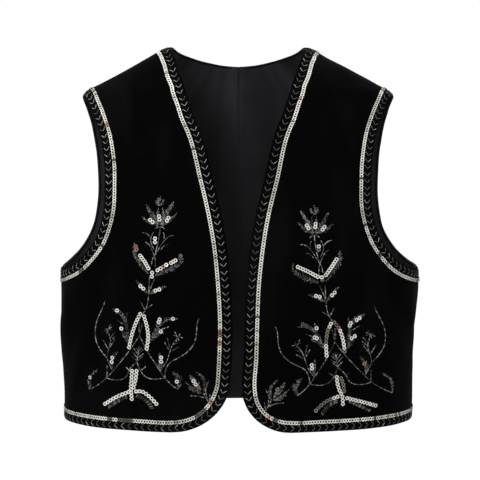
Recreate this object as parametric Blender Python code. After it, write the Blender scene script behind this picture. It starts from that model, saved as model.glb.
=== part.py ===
"""Embroidered folk vest: a cropped, open, sleeveless vest of black velvet, filled out as worn.

Metres, +Z up, the fronts face -Y. The origin is midway between the two points where the
shoulders meet the neck, where the vest hangs from its wearer. Left and right are the
wearer's, so the right front lies at -X.

Every piece is cut out of one surface, the vest's outer form. A place on it is an angle
round the body (0 at the centre front, a quarter turn at the left side, a half turn at the
centre back) and a height. The right half is worked out as a left half and mirrored.
"""

import math

import bpy
import numpy as np
from mathutils import Vector
from mathutils.geometry import delaunay_2d_cdt

# Cloth and seams
FRONT_WALL = 0.0024  # velvet and lining of a front, bagged out together
BACK_WALL = 0.0016
LINING_WALL = 0.0010
SEAM_GAP = 0.0003
TRIM_WIDTH = 0.0048  # a string of 5 mm sequins
TRIM_THICKNESS = 0.0009
TRIM_LIFT = 0.0005
FRONT_TRIM_INSET = 0.0138  # from the front edge, neck and hem to the middle of the sequins
ARMHOLE_TRIM_INSET = 0.0120

# The outer form: a rounded section at each height, which narrows along the shoulder slope.
# height, half width, front depth, back depth, squareness of the section (2 is an ellipse)
FORM = (
    (0.0040, 0.0660, 0.0400, 0.0580, 2.0),
    (0.0000, 0.0770, 0.0420, 0.0600, 2.0),
    (-0.0030, 0.0855, 0.0435, 0.0615, 2.0),
    (-0.0120, 0.1023, 0.0480, 0.0655, 2.0),
    (-0.0400, 0.1538, 0.0615, 0.0765, 2.0),
    (-0.0490, 0.1703, 0.0660, 0.0795, 2.0),
    (-0.0560, 0.1762, 0.0690, 0.0820, 2.0),
    (-0.0800, 0.1840, 0.0780, 0.0890, 2.1),
    (-0.1200, 0.1910, 0.0890, 0.0980, 2.2),
    (-0.1600, 0.1950, 0.0970, 0.1010, 2.3),
    (-0.2000, 0.1980, 0.1030, 0.0990, 2.35),
    (-0.2500, 0.2010, 0.1065, 0.0955, 2.4),
    (-0.3000, 0.2008, 0.1065, 0.0930, 2.4),
    (-0.3600, 0.1995, 0.1045, 0.0940, 2.4),
    (-0.4300, 0.1980, 0.1020, 0.0980, 2.4),
)
SIDE_DEPTH = 0.1  # about the depth of the form, which turns a seam's gap into an angle

# Neck, from the centre back towards the shoulder: distance from the centre, height
BACK_NECK = (
    (0.0000, -0.0205),
    (0.0200, -0.0188),
    (0.0385, -0.0148),
    (0.0590, -0.0083),
    (0.0711, -0.0019),
)
NECK_POINT_HEIGHT = 0.0

# The shoulder seam's ends, at the neck and at the armhole: distance from the centre, height
SHOULDER_SEAM = ((0.0735, -0.0050), (0.1699, -0.0594))
SHOULDER_REACH = -0.1  # height above which a string of sequins can end at this seam

# Front edge, from the shoulder seam down. The left front comes nearer the centre low down.
# height, distance of the right front's edge and of the left front's edge from the centre
FRONT_EDGE = (
    (-0.0110, 0.0708, 0.0708),
    (-0.0340, 0.0627, 0.0627),
    (-0.0810, 0.0459, 0.0462),
    (-0.1470, 0.0262, 0.0282),
    (-0.1870, 0.0179, 0.0186),
    (-0.2130, 0.0136, 0.0142),
    (-0.2560, 0.0093, 0.0093),
    (-0.3020, 0.0068, 0.0072),
    (-0.3400, 0.0078, 0.0062),
)

# The rounded lower corner of each front is a quarter ellipse:
# height where it starts, distance of the edge from the centre there, width of the corner
CORNER = {"right": (-0.3620, 0.0091, 0.0660), "left": (-0.3740, 0.0044, 0.0540)}

# Hem height at the side, and how it falls towards the front and rises at the back
HEM_SIDE, HEM_FALL, HEM_DIP = -0.4155, 0.0047, 0.0002

# Armholes, from the shoulder down to the side seam: distance from the centre, height
ARMHOLE_TIP_HEIGHT = -0.0560
FRONT_ARMHOLE = (
    (0.1644, -0.0706),
    (0.1547, -0.0943),
    (0.1487, -0.1238),
    (0.1471, -0.1560),
    (0.1478, -0.1800),
    (0.1523, -0.1985),
    (0.1591, -0.2142),
    (0.1680, -0.2263),
    (0.1763, -0.2355),
    (0.1864, -0.2429),
)
BACK_ARMHOLE = (
    (0.1750, -0.0640),
    (0.1705, -0.0820),
    (0.1660, -0.1120),
    (0.1638, -0.1520),
    (0.1647, -0.1780),
    (0.1713, -0.2097),
    (0.1767, -0.2209),
    (0.1840, -0.2317),
    (0.1935, -0.2410),
)
UNDERARM_HEIGHT = -0.2490

# Soft folds of the cloth: start and end, each an angle in degrees and a height, then the
# fold's half width and its depth, which is positive where it stands out
FOLDS = (
    ((-62, -0.262), (-84, -0.345), 0.013, 0.0026),
    ((-55, -0.285), (-72, -0.372), 0.012, -0.0020),
    ((-22, -0.090), (-26, -0.200), 0.014, 0.0014),
    ((60, -0.255), (80, -0.330), 0.013, 0.0024),
    ((47, -0.215), (60, -0.320), 0.012, -0.0018),
    ((24, -0.060), (33, -0.165), 0.015, 0.0018),
    ((118, -0.270), (103, -0.372), 0.014, 0.0024),
    ((-117, -0.265), (-101, -0.360), 0.014, 0.0022),
    ((150, -0.300), (146, -0.405), 0.018, -0.0018),
    ((-152, -0.290), (-149, -0.400), 0.018, -0.0020),
    ((172, -0.060), (176, -0.170), 0.016, -0.0012),
)
FOLD_FADE = 0.2  # a fold dies out over this share of its length past each end

# The pleat down the middle of the back lining: height, how far it stands in
PLEAT = ((-0.415, 0.0), (-0.380, 0.0004), (-0.300, 0.0030), (-0.200, 0.0040), (-0.080, 0.0026), (-0.020, 0.0014))
PLEAT_HALF_WIDTH = 0.0085

# How finely the pieces are divided
EDGE_STEP, SEAM_STEP, FILL_STEP = 0.0115, 0.0115, 0.0175
EDGE_CLEARANCE = 0.6  # of a fill step, between an edge and the nearest points inside it
PLEAT_LINES = (-0.013, -0.0065, 0.0, 0.0065, 0.013)  # rows of points along the pleat
TRIM_STEP, TRACE_STEP = 0.010, 0.002
INSET_STEPS = 8  # steps in which an inset is walked from an edge
CURVE_STEPS = 14  # points of a curve between two of its places

# The form laid flat for cutting: metres for a radian, and the stretch of the shoulder slope
FLAT_RADIUS = 0.16
SLOPE_FROM, SLOPE_STRETCH = -0.056, 2.1

QUARTER, HALF = math.pi / 2, math.pi


def smooth_value(t, step, values, slopes):
    """A smooth curve between two knots, from the values and slopes at both."""
    return (
        (2 * t**3 - 3 * t**2 + 1) * values[0]
        + (t**3 - 2 * t**2 + t) * step * slopes[0]
        + (3 * t**2 - 2 * t**3) * values[1]
        + (t**3 - t**2) * step * slopes[1]
    )


def table_slopes(knots, values):
    """Slopes that keep a smooth curve through a table from overshooting."""
    rises = np.diff(values, axis=0) / np.diff(knots)[:, None]
    slopes = np.zeros_like(values)
    slopes[0], slopes[-1] = rises[0], rises[-1]
    for row in range(1, len(values) - 1):
        before, after = rises[row - 1], rises[row]
        total = np.where(before + after == 0, 1.0, before + after)
        slopes[row] = np.where(before * after > 0, 2 * before * after / total, 0.0)
    return slopes


FORM_ROWS = np.array(FORM)[::-1]
FORM_HEIGHTS, FORM_VALUES = FORM_ROWS[:, 0], FORM_ROWS[:, 1:]
FORM_SLOPES = table_slopes(FORM_HEIGHTS, FORM_VALUES)


def section_at(height):
    """Half width, front depth, back depth and squareness of the form at a height."""
    row = int(np.clip(np.searchsorted(FORM_HEIGHTS, height) - 1, 0, len(FORM_HEIGHTS) - 2))
    step = FORM_HEIGHTS[row + 1] - FORM_HEIGHTS[row]
    t = (height - FORM_HEIGHTS[row]) / step
    return smooth_value(t, step, FORM_VALUES[row : row + 2], FORM_SLOPES[row : row + 2])


def on_form(angle, height):
    """The point of the outer form at a place, with no folds."""
    width, front, back, square = section_at(height)
    across, forward = math.sin(angle), math.cos(angle)
    size = (abs(across) ** square + abs(forward) ** square) ** (1 / square)
    depth = front if forward > 0 else back
    return Vector((width * across / size, -depth * forward / size, height))


def out_of_form(angle, height):
    """The form's outward direction at a place."""
    small_angle, small_height = 0.002, 0.0004
    across = on_form(angle + small_angle, height) - on_form(angle - small_angle, height)
    up = on_form(angle, height + small_height) - on_form(angle, height - small_height)
    return across.cross(up).normalized()


def place_of(point):
    """The form's place at a point's own height, in the point's direction."""
    width, front, back, _ = section_at(point.z)
    depth = front if point.y < 0 else back
    angle = math.atan2(point.x / width, -point.y / depth)
    return angle % (2 * HALF), point.z


def place_across(distance, height, front):
    """The place this far from the centre, on the front or on the back."""
    width, _, _, square = section_at(height)
    share = min(distance / width, 1.0)
    angle = math.atan2(share, (1 - share**square) ** (1 / square))
    return (angle if front else HALF - angle), height


def place_forward(distance, height):
    """The place this far in front of the ridge of the shoulder."""
    _, front, _, square = section_at(height)
    share = distance / front
    return math.atan2((1 - share**square) ** (1 / square), share), height


def fold_height(point):
    """How far the cloth stands out at a point because of the folds near it."""
    total = 0.0
    for start, end, half_width, depth in FOLDS:
        first = on_form(math.radians(start[0]), start[1])
        run = on_form(math.radians(end[0]), end[1]) - first
        share = (point - first).dot(run) / run.length_squared
        if -FOLD_FADE < share < 1 + FOLD_FADE:
            away = (point - first - run * min(max(share, 0.0), 1.0)).length / half_width
            along = math.sin(math.pi * (share + FOLD_FADE) / (1 + 2 * FOLD_FADE))
            total += depth * along * math.exp(-away * away)
    return total


def cloth(angle, height, sign=1):
    """The point of the velvet's outer face at a place and the outward direction there.

    A sign of -1 gives the place's mirror image, with the folds of that side.
    """
    point, out = on_form(sign * angle, height), out_of_form(sign * angle, height)
    return point + out * fold_height(point), out


def pleat_depth(point):
    """How far the back lining stands in at a point, for the pleat down its middle."""
    if point.y < 0:
        return 0.0
    heights, depths = zip(*PLEAT)
    return float(np.interp(point.z, heights, depths)) * math.exp(-((point.x / PLEAT_HALF_WIDTH) ** 2))


class Curve:
    """A smooth line on the form through places, read by the share of its length."""

    def __init__(self, places):
        knots_at = np.array(places, float)
        chords = np.diff([on_form(*place) for place in knots_at], axis=0)
        knots = np.concatenate([[0.0], np.cumsum(np.linalg.norm(chords, axis=1))])
        slopes = np.gradient(knots_at, knots, axis=0)
        dense = [knots_at[0]]
        for i in range(len(knots_at) - 1):
            for t in np.linspace(0, 1, CURVE_STEPS + 1)[1:]:
                step = knots[i + 1] - knots[i]
                dense.append(smooth_value(t, step, knots_at[i : i + 2], slopes[i : i + 2]))
        self.places = np.array(dense)
        lengths = np.linalg.norm(np.diff([on_form(*place) for place in dense], axis=0), axis=1)
        self.run = np.concatenate([[0.0], np.cumsum(lengths)])
        self.length = self.run[-1]

    def __call__(self, share):
        """The place at a share of the length."""
        where = share * self.length
        return np.array([np.interp(where, self.run, self.places[:, axis]) for axis in (0, 1)])

    def cut(self, step):
        """Places about a step apart along the curve, without its last one."""
        return [self(share) for share in np.linspace(0, 1, round(self.length / step) + 1)[:-1]]


def hem_place(angle):
    """The hem's place at an angle."""
    return angle, HEM_SIDE - HEM_FALL * math.cos(angle) - HEM_DIP * math.cos(angle) ** 2


def hem_places(first, last, count):
    """Places along the hem between two angles."""
    return [hem_place(angle) for angle in np.linspace(first, last, count)]


def shoulder_places(shift=0.0):
    """The shoulder seam from the neck to the armhole, moved forward by a shift."""
    neck, arm = (on_form(*place_across(*end, True)) for end in SHOULDER_SEAM)
    shares = np.linspace(0, 1, 9)
    return [place_forward(-neck.lerp(arm, s).y + shift, neck.lerp(arm, s).z) for s in shares]


def neck_places():
    """The back neck, from the centre back up to the ridge of the shoulder."""
    return [*(place_across(*row, False) for row in BACK_NECK), (QUARTER, NECK_POINT_HEIGHT)]


def front_edge_places(side):
    """A front's edge, from below the shoulder seam to the start of its rounded corner."""
    column = {"right": 1, "left": 2}[side]
    start, distance, _ = CORNER[side]
    rows = [place_across(row[column], row[0], True) for row in FRONT_EDGE]
    return [*rows, place_across(distance, start, True)]


def corner_places(side, first, last, count=5):
    """Places round a front's lower corner: turn 0 is at the edge, a quarter turn at the hem."""
    start, distance, width = CORNER[side]
    middle = distance + width
    hem_height = hem_place(place_across(middle, start, True)[0])[1]
    places = []
    for turn in np.linspace(first, last, count):
        height = start - (start - hem_height) * math.sin(turn)
        places.append(place_across(middle - width * math.cos(turn), height, True))
    return places


def armhole_places(front):
    """The armhole of a front or a back, from below its top down to above the underarm."""
    if front:
        return [place_across(*row, True) for row in FRONT_ARMHOLE]
    ridge = (QUARTER, ARMHOLE_TIP_HEIGHT)
    return [ridge, *(place_across(*row, False) for row in BACK_ARMHOLE)]


def front_outline(side):
    """The places round a front: down its edge, along the hem, up the side and armhole, and back."""
    gap = SEAM_GAP / 2 / SIDE_DEPTH
    seam = shoulder_places(SEAM_GAP / 2)
    corner = corner_places(side, 0, QUARTER, 9)
    under, hem_end = (QUARTER - gap, UNDERARM_HEIGHT), (QUARTER - gap, HEM_SIDE)
    edge = Curve([seam[0], *front_edge_places(side), *corner[1:]])
    hem = Curve([*hem_places(corner[-1][0], QUARTER, 9)[:-1], hem_end])
    armhole = Curve([under, *reversed(armhole_places(True)), seam[-1]])
    lines = (edge, EDGE_STEP), (hem, EDGE_STEP), (Curve([hem_end, under]), SEAM_STEP)
    lines += (armhole, EDGE_STEP), (Curve(seam[::-1]), SEAM_STEP)
    return [place for line, step in lines for place in line.cut(step)]


def back_outline():
    """The places round the back: half of it from the hem's middle up to the neck's, then the rest."""
    gap = SEAM_GAP / 2 / SIDE_DEPTH
    seam = shoulder_places(-SEAM_GAP / 2)
    under, hem_end = (QUARTER + gap, UNDERARM_HEIGHT), (QUARTER + gap, HEM_SIDE)
    hem = Curve([*hem_places(HALF, QUARTER, 12)[:-1], hem_end])
    armhole = Curve([under, *reversed(armhole_places(False)), seam[-1]])
    neck = Curve([seam[0], *reversed(neck_places())])
    half = [*hem.cut(EDGE_STEP), *Curve([hem_end, under]).cut(SEAM_STEP), *armhole.cut(EDGE_STEP)]
    half += [*Curve(seam[::-1]).cut(SEAM_STEP), *neck.cut(EDGE_STEP), neck(1)]
    return [*half, *((2 * HALF - angle, height) for angle, height in half[-2:0:-1])]


def laid_flat(place):
    """A place on the form laid flat, where distances are about those on the cloth."""
    angle, height = place
    above = max(height - SLOPE_FROM, 0.0)
    return np.array([angle * FLAT_RADIUS, height + (SLOPE_STRETCH - 1) * above])


def from_flat(spot):
    """The place of a spot on the form laid flat."""
    across, up = spot
    above = max(up - SLOPE_FROM, 0.0)
    return across / FLAT_RADIUS, up - above * (1 - 1 / SLOPE_STRETCH)


def inside(spot, outline):
    """Whether a flat spot lies inside a flat outline, well clear of it."""
    starts, ends = outline, np.roll(outline, -1, axis=0)
    runs = ends - starts
    shares = np.clip(((spot - starts) * runs).sum(1) / (runs * runs).sum(1), 0, 1)
    if np.linalg.norm(starts + runs * shares[:, None] - spot, axis=1).min() < EDGE_CLEARANCE * FILL_STEP:
        return False
    spans = (starts[:, 1] > spot[1]) != (ends[:, 1] > spot[1])
    rise = np.where(spans, runs[:, 1], 1.0)
    crossing = starts[:, 0] + runs[:, 0] * (spot[1] - starts[:, 1]) / rise
    return bool((spans & (crossing > spot[0])).sum() % 2)


def fill_places(outline, lines=()):
    """Places inside an outline in staggered rows, with extra ones on upright lines at the back."""
    border = np.array([laid_flat(place) for place in outline])
    low, high = border.min(axis=0), border.max(axis=0)
    reach = max(lines, default=0.0) + FILL_STEP / 2
    middle = HALF * FLAT_RADIUS
    spots = []
    for row, up in enumerate(np.arange(low[1], high[1], FILL_STEP * math.sqrt(3) / 2)):
        first = middle - FILL_STEP * (round((middle - low[0]) / FILL_STEP) + 0.5 * (row % 2))
        across = [x for x in np.arange(first, high[0], FILL_STEP) if not lines or abs(x - middle) > reach]
        spots += [np.array([x, up]) for x in (*across, *(middle + line for line in lines))]
    return [from_flat(spot) for spot in spots if inside(spot, border)]


def triangulated(outline, filling):
    """Triangles between an outline and the places inside it, as indices into both in turn."""
    spots = [Vector(laid_flat(place)) for place in (*outline, *filling)]
    _, _, faces, sources, _, _ = delaunay_2d_cdt(spots, [], [tuple(range(len(outline)))], 1, 1e-7)
    return [tuple(sources[corner][0] for corner in face) for face in faces]


def material(name, colour, roughness, metallic=0.0):
    """A plain finish for one kind of piece."""
    made = bpy.data.materials.new(name)
    made.use_nodes = True
    shader = made.node_tree.nodes["Principled BSDF"]
    shader.inputs["Base Color"].default_value = (*colour, 1)
    shader.inputs["Roughness"].default_value = roughness
    shader.inputs["Metallic"].default_value = metallic
    return made


def walled(name, outer, inner, faces, border, finish):
    """A closed piece between two like sheets of points, with a rim along their border."""
    a, b, c = (outer[corner] for corner in faces[0][:3])
    if (b - a).cross(c - a).dot(outer[faces[0][0]] - inner[faces[0][0]]) < 0:
        faces = [face[::-1] for face in faces]
    directed = {(face[i - 1], face[i]) for face in faces for i in range(len(face))}
    if (border[0], border[1]) not in directed:
        border = border[::-1]
    count = len(outer)
    under = [tuple(corner + count for corner in reversed(face)) for face in faces]
    rim = [(b, a, a + count, b + count) for a, b in zip(border, border[1:] + border[:1])]
    mesh = bpy.data.meshes.new(name)
    mesh.from_pydata([*outer, *inner], [], [*faces, *under, *rim])
    mesh.materials.append(finish)
    mesh.shade_smooth()
    mesh.set_sharp_from_angle(angle=math.radians(40))
    piece = bpy.data.objects.new(name, mesh)
    bpy.context.collection.objects.link(piece)
    piece.parent = bpy.data.objects["vest"]


def panel(name, outline, filling, faces, sign, depth_in, wall, finish, pleated=False):
    """A cloth panel between places, its outer face this far inside the velvet's."""
    outer, inner = [], []
    for place in (*outline, *filling):
        point, out = cloth(*place, sign)
        face = point - out * (depth_in + (pleat_depth(point) if pleated else 0.0))
        outer.append(face)
        inner.append(face - out * wall)
    walled(name, outer, inner, faces, list(range(len(outline))), finish)


def traced(curve):
    """Points, outward and inward directions every couple of millimetres along a curve."""
    shares = np.linspace(0, 1, int(curve.length / TRACE_STEP) + 1)
    places = [curve(share) for share in shares]
    points = [on_form(*place) for place in places]
    rows = []
    for i, place in enumerate(places):
        along = points[min(i + 1, len(points) - 1)] - points[max(i - 1, 0)]
        out = out_of_form(*place)
        rows.append((points[i], out, along.cross(out).normalized()))
    return rows


def stepped_in(point, inward, distance):
    """The point of the form this far inside an edge, reached in small steps along the form."""
    for _ in range(INSET_STEPS):
        out = out_of_form(*place_of(point))
        inward = (inward - out * inward.dot(out)).normalized()
        point = on_form(*place_of(point + inward * (distance / INSET_STEPS)))
    return point


def trim(name, curve, side_of_curve, inset, keep, sign, finish):
    """A flat string of sequins that lies on the velvet along a curve, inset from it.

    keep gives a point's distance inside the stretch that is wanted, negative outside it.
    """
    lines = []
    for point, _, inward in traced(curve):
        inward = inward * side_of_curve
        low, middle, high = (
            stepped_in(point, inward, inset + shift * TRIM_WIDTH / 2) for shift in (-1, 0, 1)
        )
        lines.append((low, middle, high, keep(middle)))
    inside = [i for i, line in enumerate(lines) if line[3] > 0]
    first, last = inside[0], inside[-1]

    def crossing(i, j):
        return i + (j - i) * lines[i][3] / (lines[i][3] - lines[j][3])

    start = crossing(first, first - 1) if first > 0 else 0.0
    end = crossing(last, last + 1) if last < len(lines) - 1 else float(last)
    count = max(2, round((end - start) * TRACE_STEP / TRIM_STEP))
    bottom, top = [], []
    for where in np.linspace(start, end, count + 1):
        i = min(int(where), len(lines) - 2)
        for edge in (0, 2):
            seat, out = cloth(*place_of(lines[i][edge].lerp(lines[i + 1][edge], where - i)), sign)
            bottom.append(seat + out * TRIM_LIFT)
            top.append(seat + out * (TRIM_LIFT + TRIM_THICKNESS))
    faces = [(i, i + 1, i + 3, i + 2) for i in range(0, 2 * count, 2)]
    border = [*range(0, len(top), 2), *reversed(range(1, len(top), 2))]
    walled(name, top, bottom, faces, border, finish)


def in_front(point):
    """How far a point lies in front of the side and shoulder seams, less half the gap there."""
    before_side = -point.y - SEAM_GAP / 2
    if point.z < SHOULDER_REACH:
        return before_side
    neck, arm = (on_form(*place_across(*end, True)) for end in SHOULDER_SEAM)
    share = min(max((neck.z - point.z) / (neck.z - arm.z), 0.0), 1.0)
    return min(before_side, neck.y + (arm.y - neck.y) * share - point.y - SEAM_GAP / 2)


def behind(point):
    """How far a point lies behind the side and shoulder seams, less half the gap there."""
    before_side = -point.y + SEAM_GAP / 2
    if point.z < SHOULDER_REACH:
        return -before_side
    return -in_front(point) - SEAM_GAP


def build_fronts(velvet, sequins):
    """Both fronts, each with the strings of sequins along its edge and its armhole."""
    for side, sign in (("right", -1), ("left", 1)):
        outline = front_outline(side)
        filling = fill_places(outline)
        faces = triangulated(outline, filling)
        panel(f"front_{side}", outline, filling, faces, sign, 0.0, FRONT_WALL, velvet)
        edge = Curve([
            *neck_places()[-2:],
            shoulder_places()[0],
            *front_edge_places(side),
            *corner_places(side, 0, QUARTER, 9)[1:],
            *hem_places(corner_places(side, 0, QUARTER)[-1][0], QUARTER, 9)[1:],
            *hem_places(QUARTER, QUARTER * 1.3, 4)[1:],
        ])
        trim(f"sequins_front_edge_{side}", edge, -1, FRONT_TRIM_INSET, in_front, sign, sequins)
        armhole = Curve([
            *armhole_places(False)[1::-1],
            shoulder_places()[-1],
            *armhole_places(True),
            (QUARTER, UNDERARM_HEIGHT),
            *armhole_places(False)[:-4:-1],
        ])
        trim(f"sequins_front_armhole_{side}", armhole, 1, ARMHOLE_TRIM_INSET, in_front, sign, sequins)


def build_back(velvet, satin, sequins):
    """The back, its lining, and the strings of sequins round its neck, hem and armholes."""
    outline = back_outline()
    filling = fill_places(outline, PLEAT_LINES)
    faces = triangulated(outline, filling)
    panel("back", outline, filling, faces, 1, 0.0, BACK_WALL, velvet)
    inside_back = BACK_WALL + SEAM_GAP
    panel("back_lining", outline, filling, faces, 1, inside_back, LINING_WALL, satin, pleated=True)
    half_neck = [*front_edge_places("left")[2::-1], shoulder_places()[0], *reversed(neck_places())]
    neck = Curve([*half_neck, *((2 * HALF - angle, height) for angle, height in reversed(half_neck[:-1]))])
    trim("sequins_back_neck", neck, 1, FRONT_TRIM_INSET, behind, 1, sequins)
    hem = Curve(hem_places(QUARTER * 0.7, QUARTER * 3.3, 40))
    trim("sequins_back_hem", hem, -1, FRONT_TRIM_INSET, behind, 1, sequins)
    for side, sign in (("right", -1), ("left", 1)):
        armhole = Curve([
            armhole_places(True)[0],
            shoulder_places()[-1],
            *armhole_places(False),
            (QUARTER, UNDERARM_HEIGHT),
            *armhole_places(True)[:-4:-1],
        ])
        trim(f"sequins_back_armhole_{side}", armhole, -1, ARMHOLE_TRIM_INSET, behind, sign, sequins)


def main():
    """Clears the scene and builds the vest."""
    for old in list(bpy.data.objects):
        bpy.data.objects.remove(old)
    vest = bpy.data.objects.new("vest", None)
    bpy.context.collection.objects.link(vest)
    velvet = material("black_velvet", (0.006, 0.006, 0.007), 0.9)
    satin = material("charcoal_satin", (0.030, 0.030, 0.034), 0.45)
    sequins = material("silver_sequins", (0.86, 0.84, 0.78), 0.25, 0.8)
    build_fronts(velvet, sequins)
    build_back(velvet, satin, sequins)


main()
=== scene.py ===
"""Embroidered folk vest: the looks of a cropped black velvet vest with sequins and silver thread.

The vest is filled out as worn, with nobody in it. Metres, +Z up, the fronts face -Y. Left and
right are the wearer's, so the right front lies at -X. A place on the cloth is an angle round
the body (0 at the centre front, a quarter turn at the left side, a half turn at the centre
back) and a height. The right half is worked out as a left half and mirrored.
"""

from __future__ import annotations

import sys

import logging
import math
from collections.abc import Sequence
from dataclasses import dataclass
from enum import Enum
from typing import Any

import bpy
import numpy as np
from mathutils import Matrix, Vector
from mathutils.geometry import delaunay_2d_cdt

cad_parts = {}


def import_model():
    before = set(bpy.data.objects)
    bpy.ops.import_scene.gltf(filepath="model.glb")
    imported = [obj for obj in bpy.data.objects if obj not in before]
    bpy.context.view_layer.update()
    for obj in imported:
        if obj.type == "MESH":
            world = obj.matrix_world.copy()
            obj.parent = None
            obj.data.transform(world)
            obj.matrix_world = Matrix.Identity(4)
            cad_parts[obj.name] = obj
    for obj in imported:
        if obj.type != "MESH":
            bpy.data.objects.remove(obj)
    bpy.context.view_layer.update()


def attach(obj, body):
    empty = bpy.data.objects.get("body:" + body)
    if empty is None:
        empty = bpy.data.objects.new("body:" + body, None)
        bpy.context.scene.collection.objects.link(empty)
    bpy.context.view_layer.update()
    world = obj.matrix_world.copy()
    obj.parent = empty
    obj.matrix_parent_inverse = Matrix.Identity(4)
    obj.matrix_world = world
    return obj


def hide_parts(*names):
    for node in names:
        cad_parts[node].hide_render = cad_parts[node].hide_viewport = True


Array = np.ndarray
Triple = tuple[float, float, float]
LOG = logging.getLogger("vest")
QUARTER, HALF = math.pi / 2, math.pi

# ---- The cut of the vest, as in its solids ----

# height, half width, front depth, back depth, squareness of the section (2 is an ellipse)
FORM = (
    (0.0040, 0.0660, 0.0400, 0.0580, 2.0),
    (0.0000, 0.0770, 0.0420, 0.0600, 2.0),
    (-0.0030, 0.0855, 0.0435, 0.0615, 2.0),
    (-0.0120, 0.1023, 0.0480, 0.0655, 2.0),
    (-0.0400, 0.1538, 0.0615, 0.0765, 2.0),
    (-0.0490, 0.1703, 0.0660, 0.0795, 2.0),
    (-0.0560, 0.1762, 0.0690, 0.0820, 2.0),
    (-0.0800, 0.1840, 0.0780, 0.0890, 2.1),
    (-0.1200, 0.1910, 0.0890, 0.0980, 2.2),
    (-0.1600, 0.1950, 0.0970, 0.1010, 2.3),
    (-0.2000, 0.1980, 0.1030, 0.0990, 2.35),
    (-0.2500, 0.2010, 0.1065, 0.0955, 2.4),
    (-0.3000, 0.2008, 0.1065, 0.0930, 2.4),
    (-0.3600, 0.1995, 0.1045, 0.0940, 2.4),
    (-0.4300, 0.1980, 0.1020, 0.0980, 2.4),
)
SIDE_DEPTH = 0.1

# Distance from the centre, height
BACK_NECK = ((0.0, -0.0205), (0.02, -0.0188), (0.0385, -0.0148), (0.059, -0.0083), (0.0711, -0.0019))
NECK_POINT_HEIGHT = 0.0
SHOULDER_SEAM = ((0.0735, -0.0050), (0.1699, -0.0594))
SHOULDER_REACH = -0.1

# height, distance of the right front's edge and of the left front's edge from the centre
FRONT_EDGE = (
    (-0.0110, 0.0708, 0.0708),
    (-0.0340, 0.0627, 0.0627),
    (-0.0810, 0.0459, 0.0462),
    (-0.1470, 0.0262, 0.0282),
    (-0.1870, 0.0171, 0.0186),
    (-0.2130, 0.0125, 0.0142),
    (-0.2560, 0.0081, 0.0093),
    (-0.3020, 0.0056, 0.0072),
    (-0.3400, 0.0065, 0.0062),
)
HEM_SIDE, HEM_FALL, HEM_DIP = -0.4187, 0.0047, 0.0002
# The borders lie nearer the edge along the hem: from this height, over this much of it, by this share
HEM_NEAR, HEM_EASE, HEM_INSET_SHARE = -0.385, 0.03, 0.82
ARMHOLE_TIP_HEIGHT, UNDERARM_HEIGHT = -0.0560, -0.2490

# Distance from the centre, height
FRONT_ARMHOLE = (
    (0.1644, -0.0706),
    (0.1547, -0.0943),
    (0.1487, -0.1238),
    (0.1471, -0.1560),
    (0.1478, -0.1800),
    (0.1523, -0.1985),
    (0.1591, -0.2142),
    (0.1680, -0.2263),
    (0.1763, -0.2355),
    (0.1864, -0.2429),
)
BACK_ARMHOLE = (
    (0.1750, -0.0640),
    (0.1705, -0.0820),
    (0.1660, -0.1120),
    (0.1638, -0.1520),
    (0.1647, -0.1780),
    (0.1713, -0.2097),
    (0.1767, -0.2209),
    (0.1840, -0.2317),
    (0.1935, -0.2410),
)

# The main creases: start and end, each an angle in degrees and a height, then the crease's
# half width and depth, which is positive where it stands out
MAIN_CREASES = (
    ((-62, -0.262), (-84, -0.345), 0.013, 0.0026),
    ((-55, -0.285), (-72, -0.372), 0.012, -0.0020),
    ((-22, -0.090), (-26, -0.200), 0.014, 0.0014),
    ((60, -0.255), (80, -0.330), 0.013, 0.0024),
    ((47, -0.215), (60, -0.320), 0.012, -0.0018),
    ((24, -0.060), (33, -0.165), 0.015, 0.0018),
    ((118, -0.270), (103, -0.372), 0.014, 0.0024),
    ((-117, -0.265), (-101, -0.360), 0.014, 0.0022),
    ((150, -0.300), (146, -0.405), 0.018, -0.0018),
    ((-152, -0.290), (-149, -0.400), 0.018, -0.0020),
    ((172, -0.060), (176, -0.170), 0.016, -0.0012),
)
# Creases that the solids don't have: first the broad swell below the left armhole, then small ones
LESSER_CREASES = (
    ((84, -0.235), (88, -0.300), 0.040, 0.0042),
    ((-48, -0.115), (-50, -0.215), 0.006, -0.0009),
    ((-31, -0.100), (-33, -0.178), 0.007, -0.0008),
    ((-70, -0.270), (-66, -0.300), 0.005, 0.0009),
    ((-76, -0.275), (-83, -0.318), 0.005, -0.0010),
    ((-38, -0.330), (-47, -0.392), 0.009, 0.0009),
    ((-14, -0.250), (-17, -0.345), 0.010, -0.0008),
    ((-56, -0.072), (-44, -0.100), 0.007, 0.0009),
    ((21, -0.040), (25, -0.085), 0.006, -0.0010),
    ((38, -0.170), (42, -0.235), 0.007, 0.0010),
    ((33, -0.150), (36, -0.225), 0.006, -0.0009),
    ((46, -0.180), (52, -0.255), 0.007, 0.0010),
    ((55, -0.195), (62, -0.270), 0.006, -0.0012),
    ((71, -0.262), (66, -0.292), 0.005, 0.0010),
    ((74, -0.300), (84, -0.352), 0.008, -0.0012),
    ((17, -0.280), (20, -0.370), 0.010, 0.0008),
    ((50, -0.345), (41, -0.398), 0.010, -0.0009),
    ((108, -0.262), (112, -0.305), 0.006, 0.0011),
    ((126, -0.205), (131, -0.300), 0.008, -0.0012),
    ((137, -0.090), (146, -0.160), 0.009, 0.0011),
    ((157, -0.050), (163, -0.120), 0.008, -0.0009),
    ((166, -0.220), (168, -0.345), 0.010, 0.0010),
    ((-166, -0.180), (-171, -0.300), 0.009, -0.0011),
    ((-159, -0.052), (-164, -0.130), 0.009, 0.0009),
    ((-140, -0.085), (-147, -0.170), 0.008, -0.0011),
    ((-129, -0.215), (-135, -0.295), 0.008, 0.0011),
    ((-111, -0.268), (-114, -0.320), 0.006, -0.0012),
    ((-124, -0.330), (-118, -0.398), 0.009, 0.0010),
    ((133, -0.340), (126, -0.400), 0.009, -0.0010),
)
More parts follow.
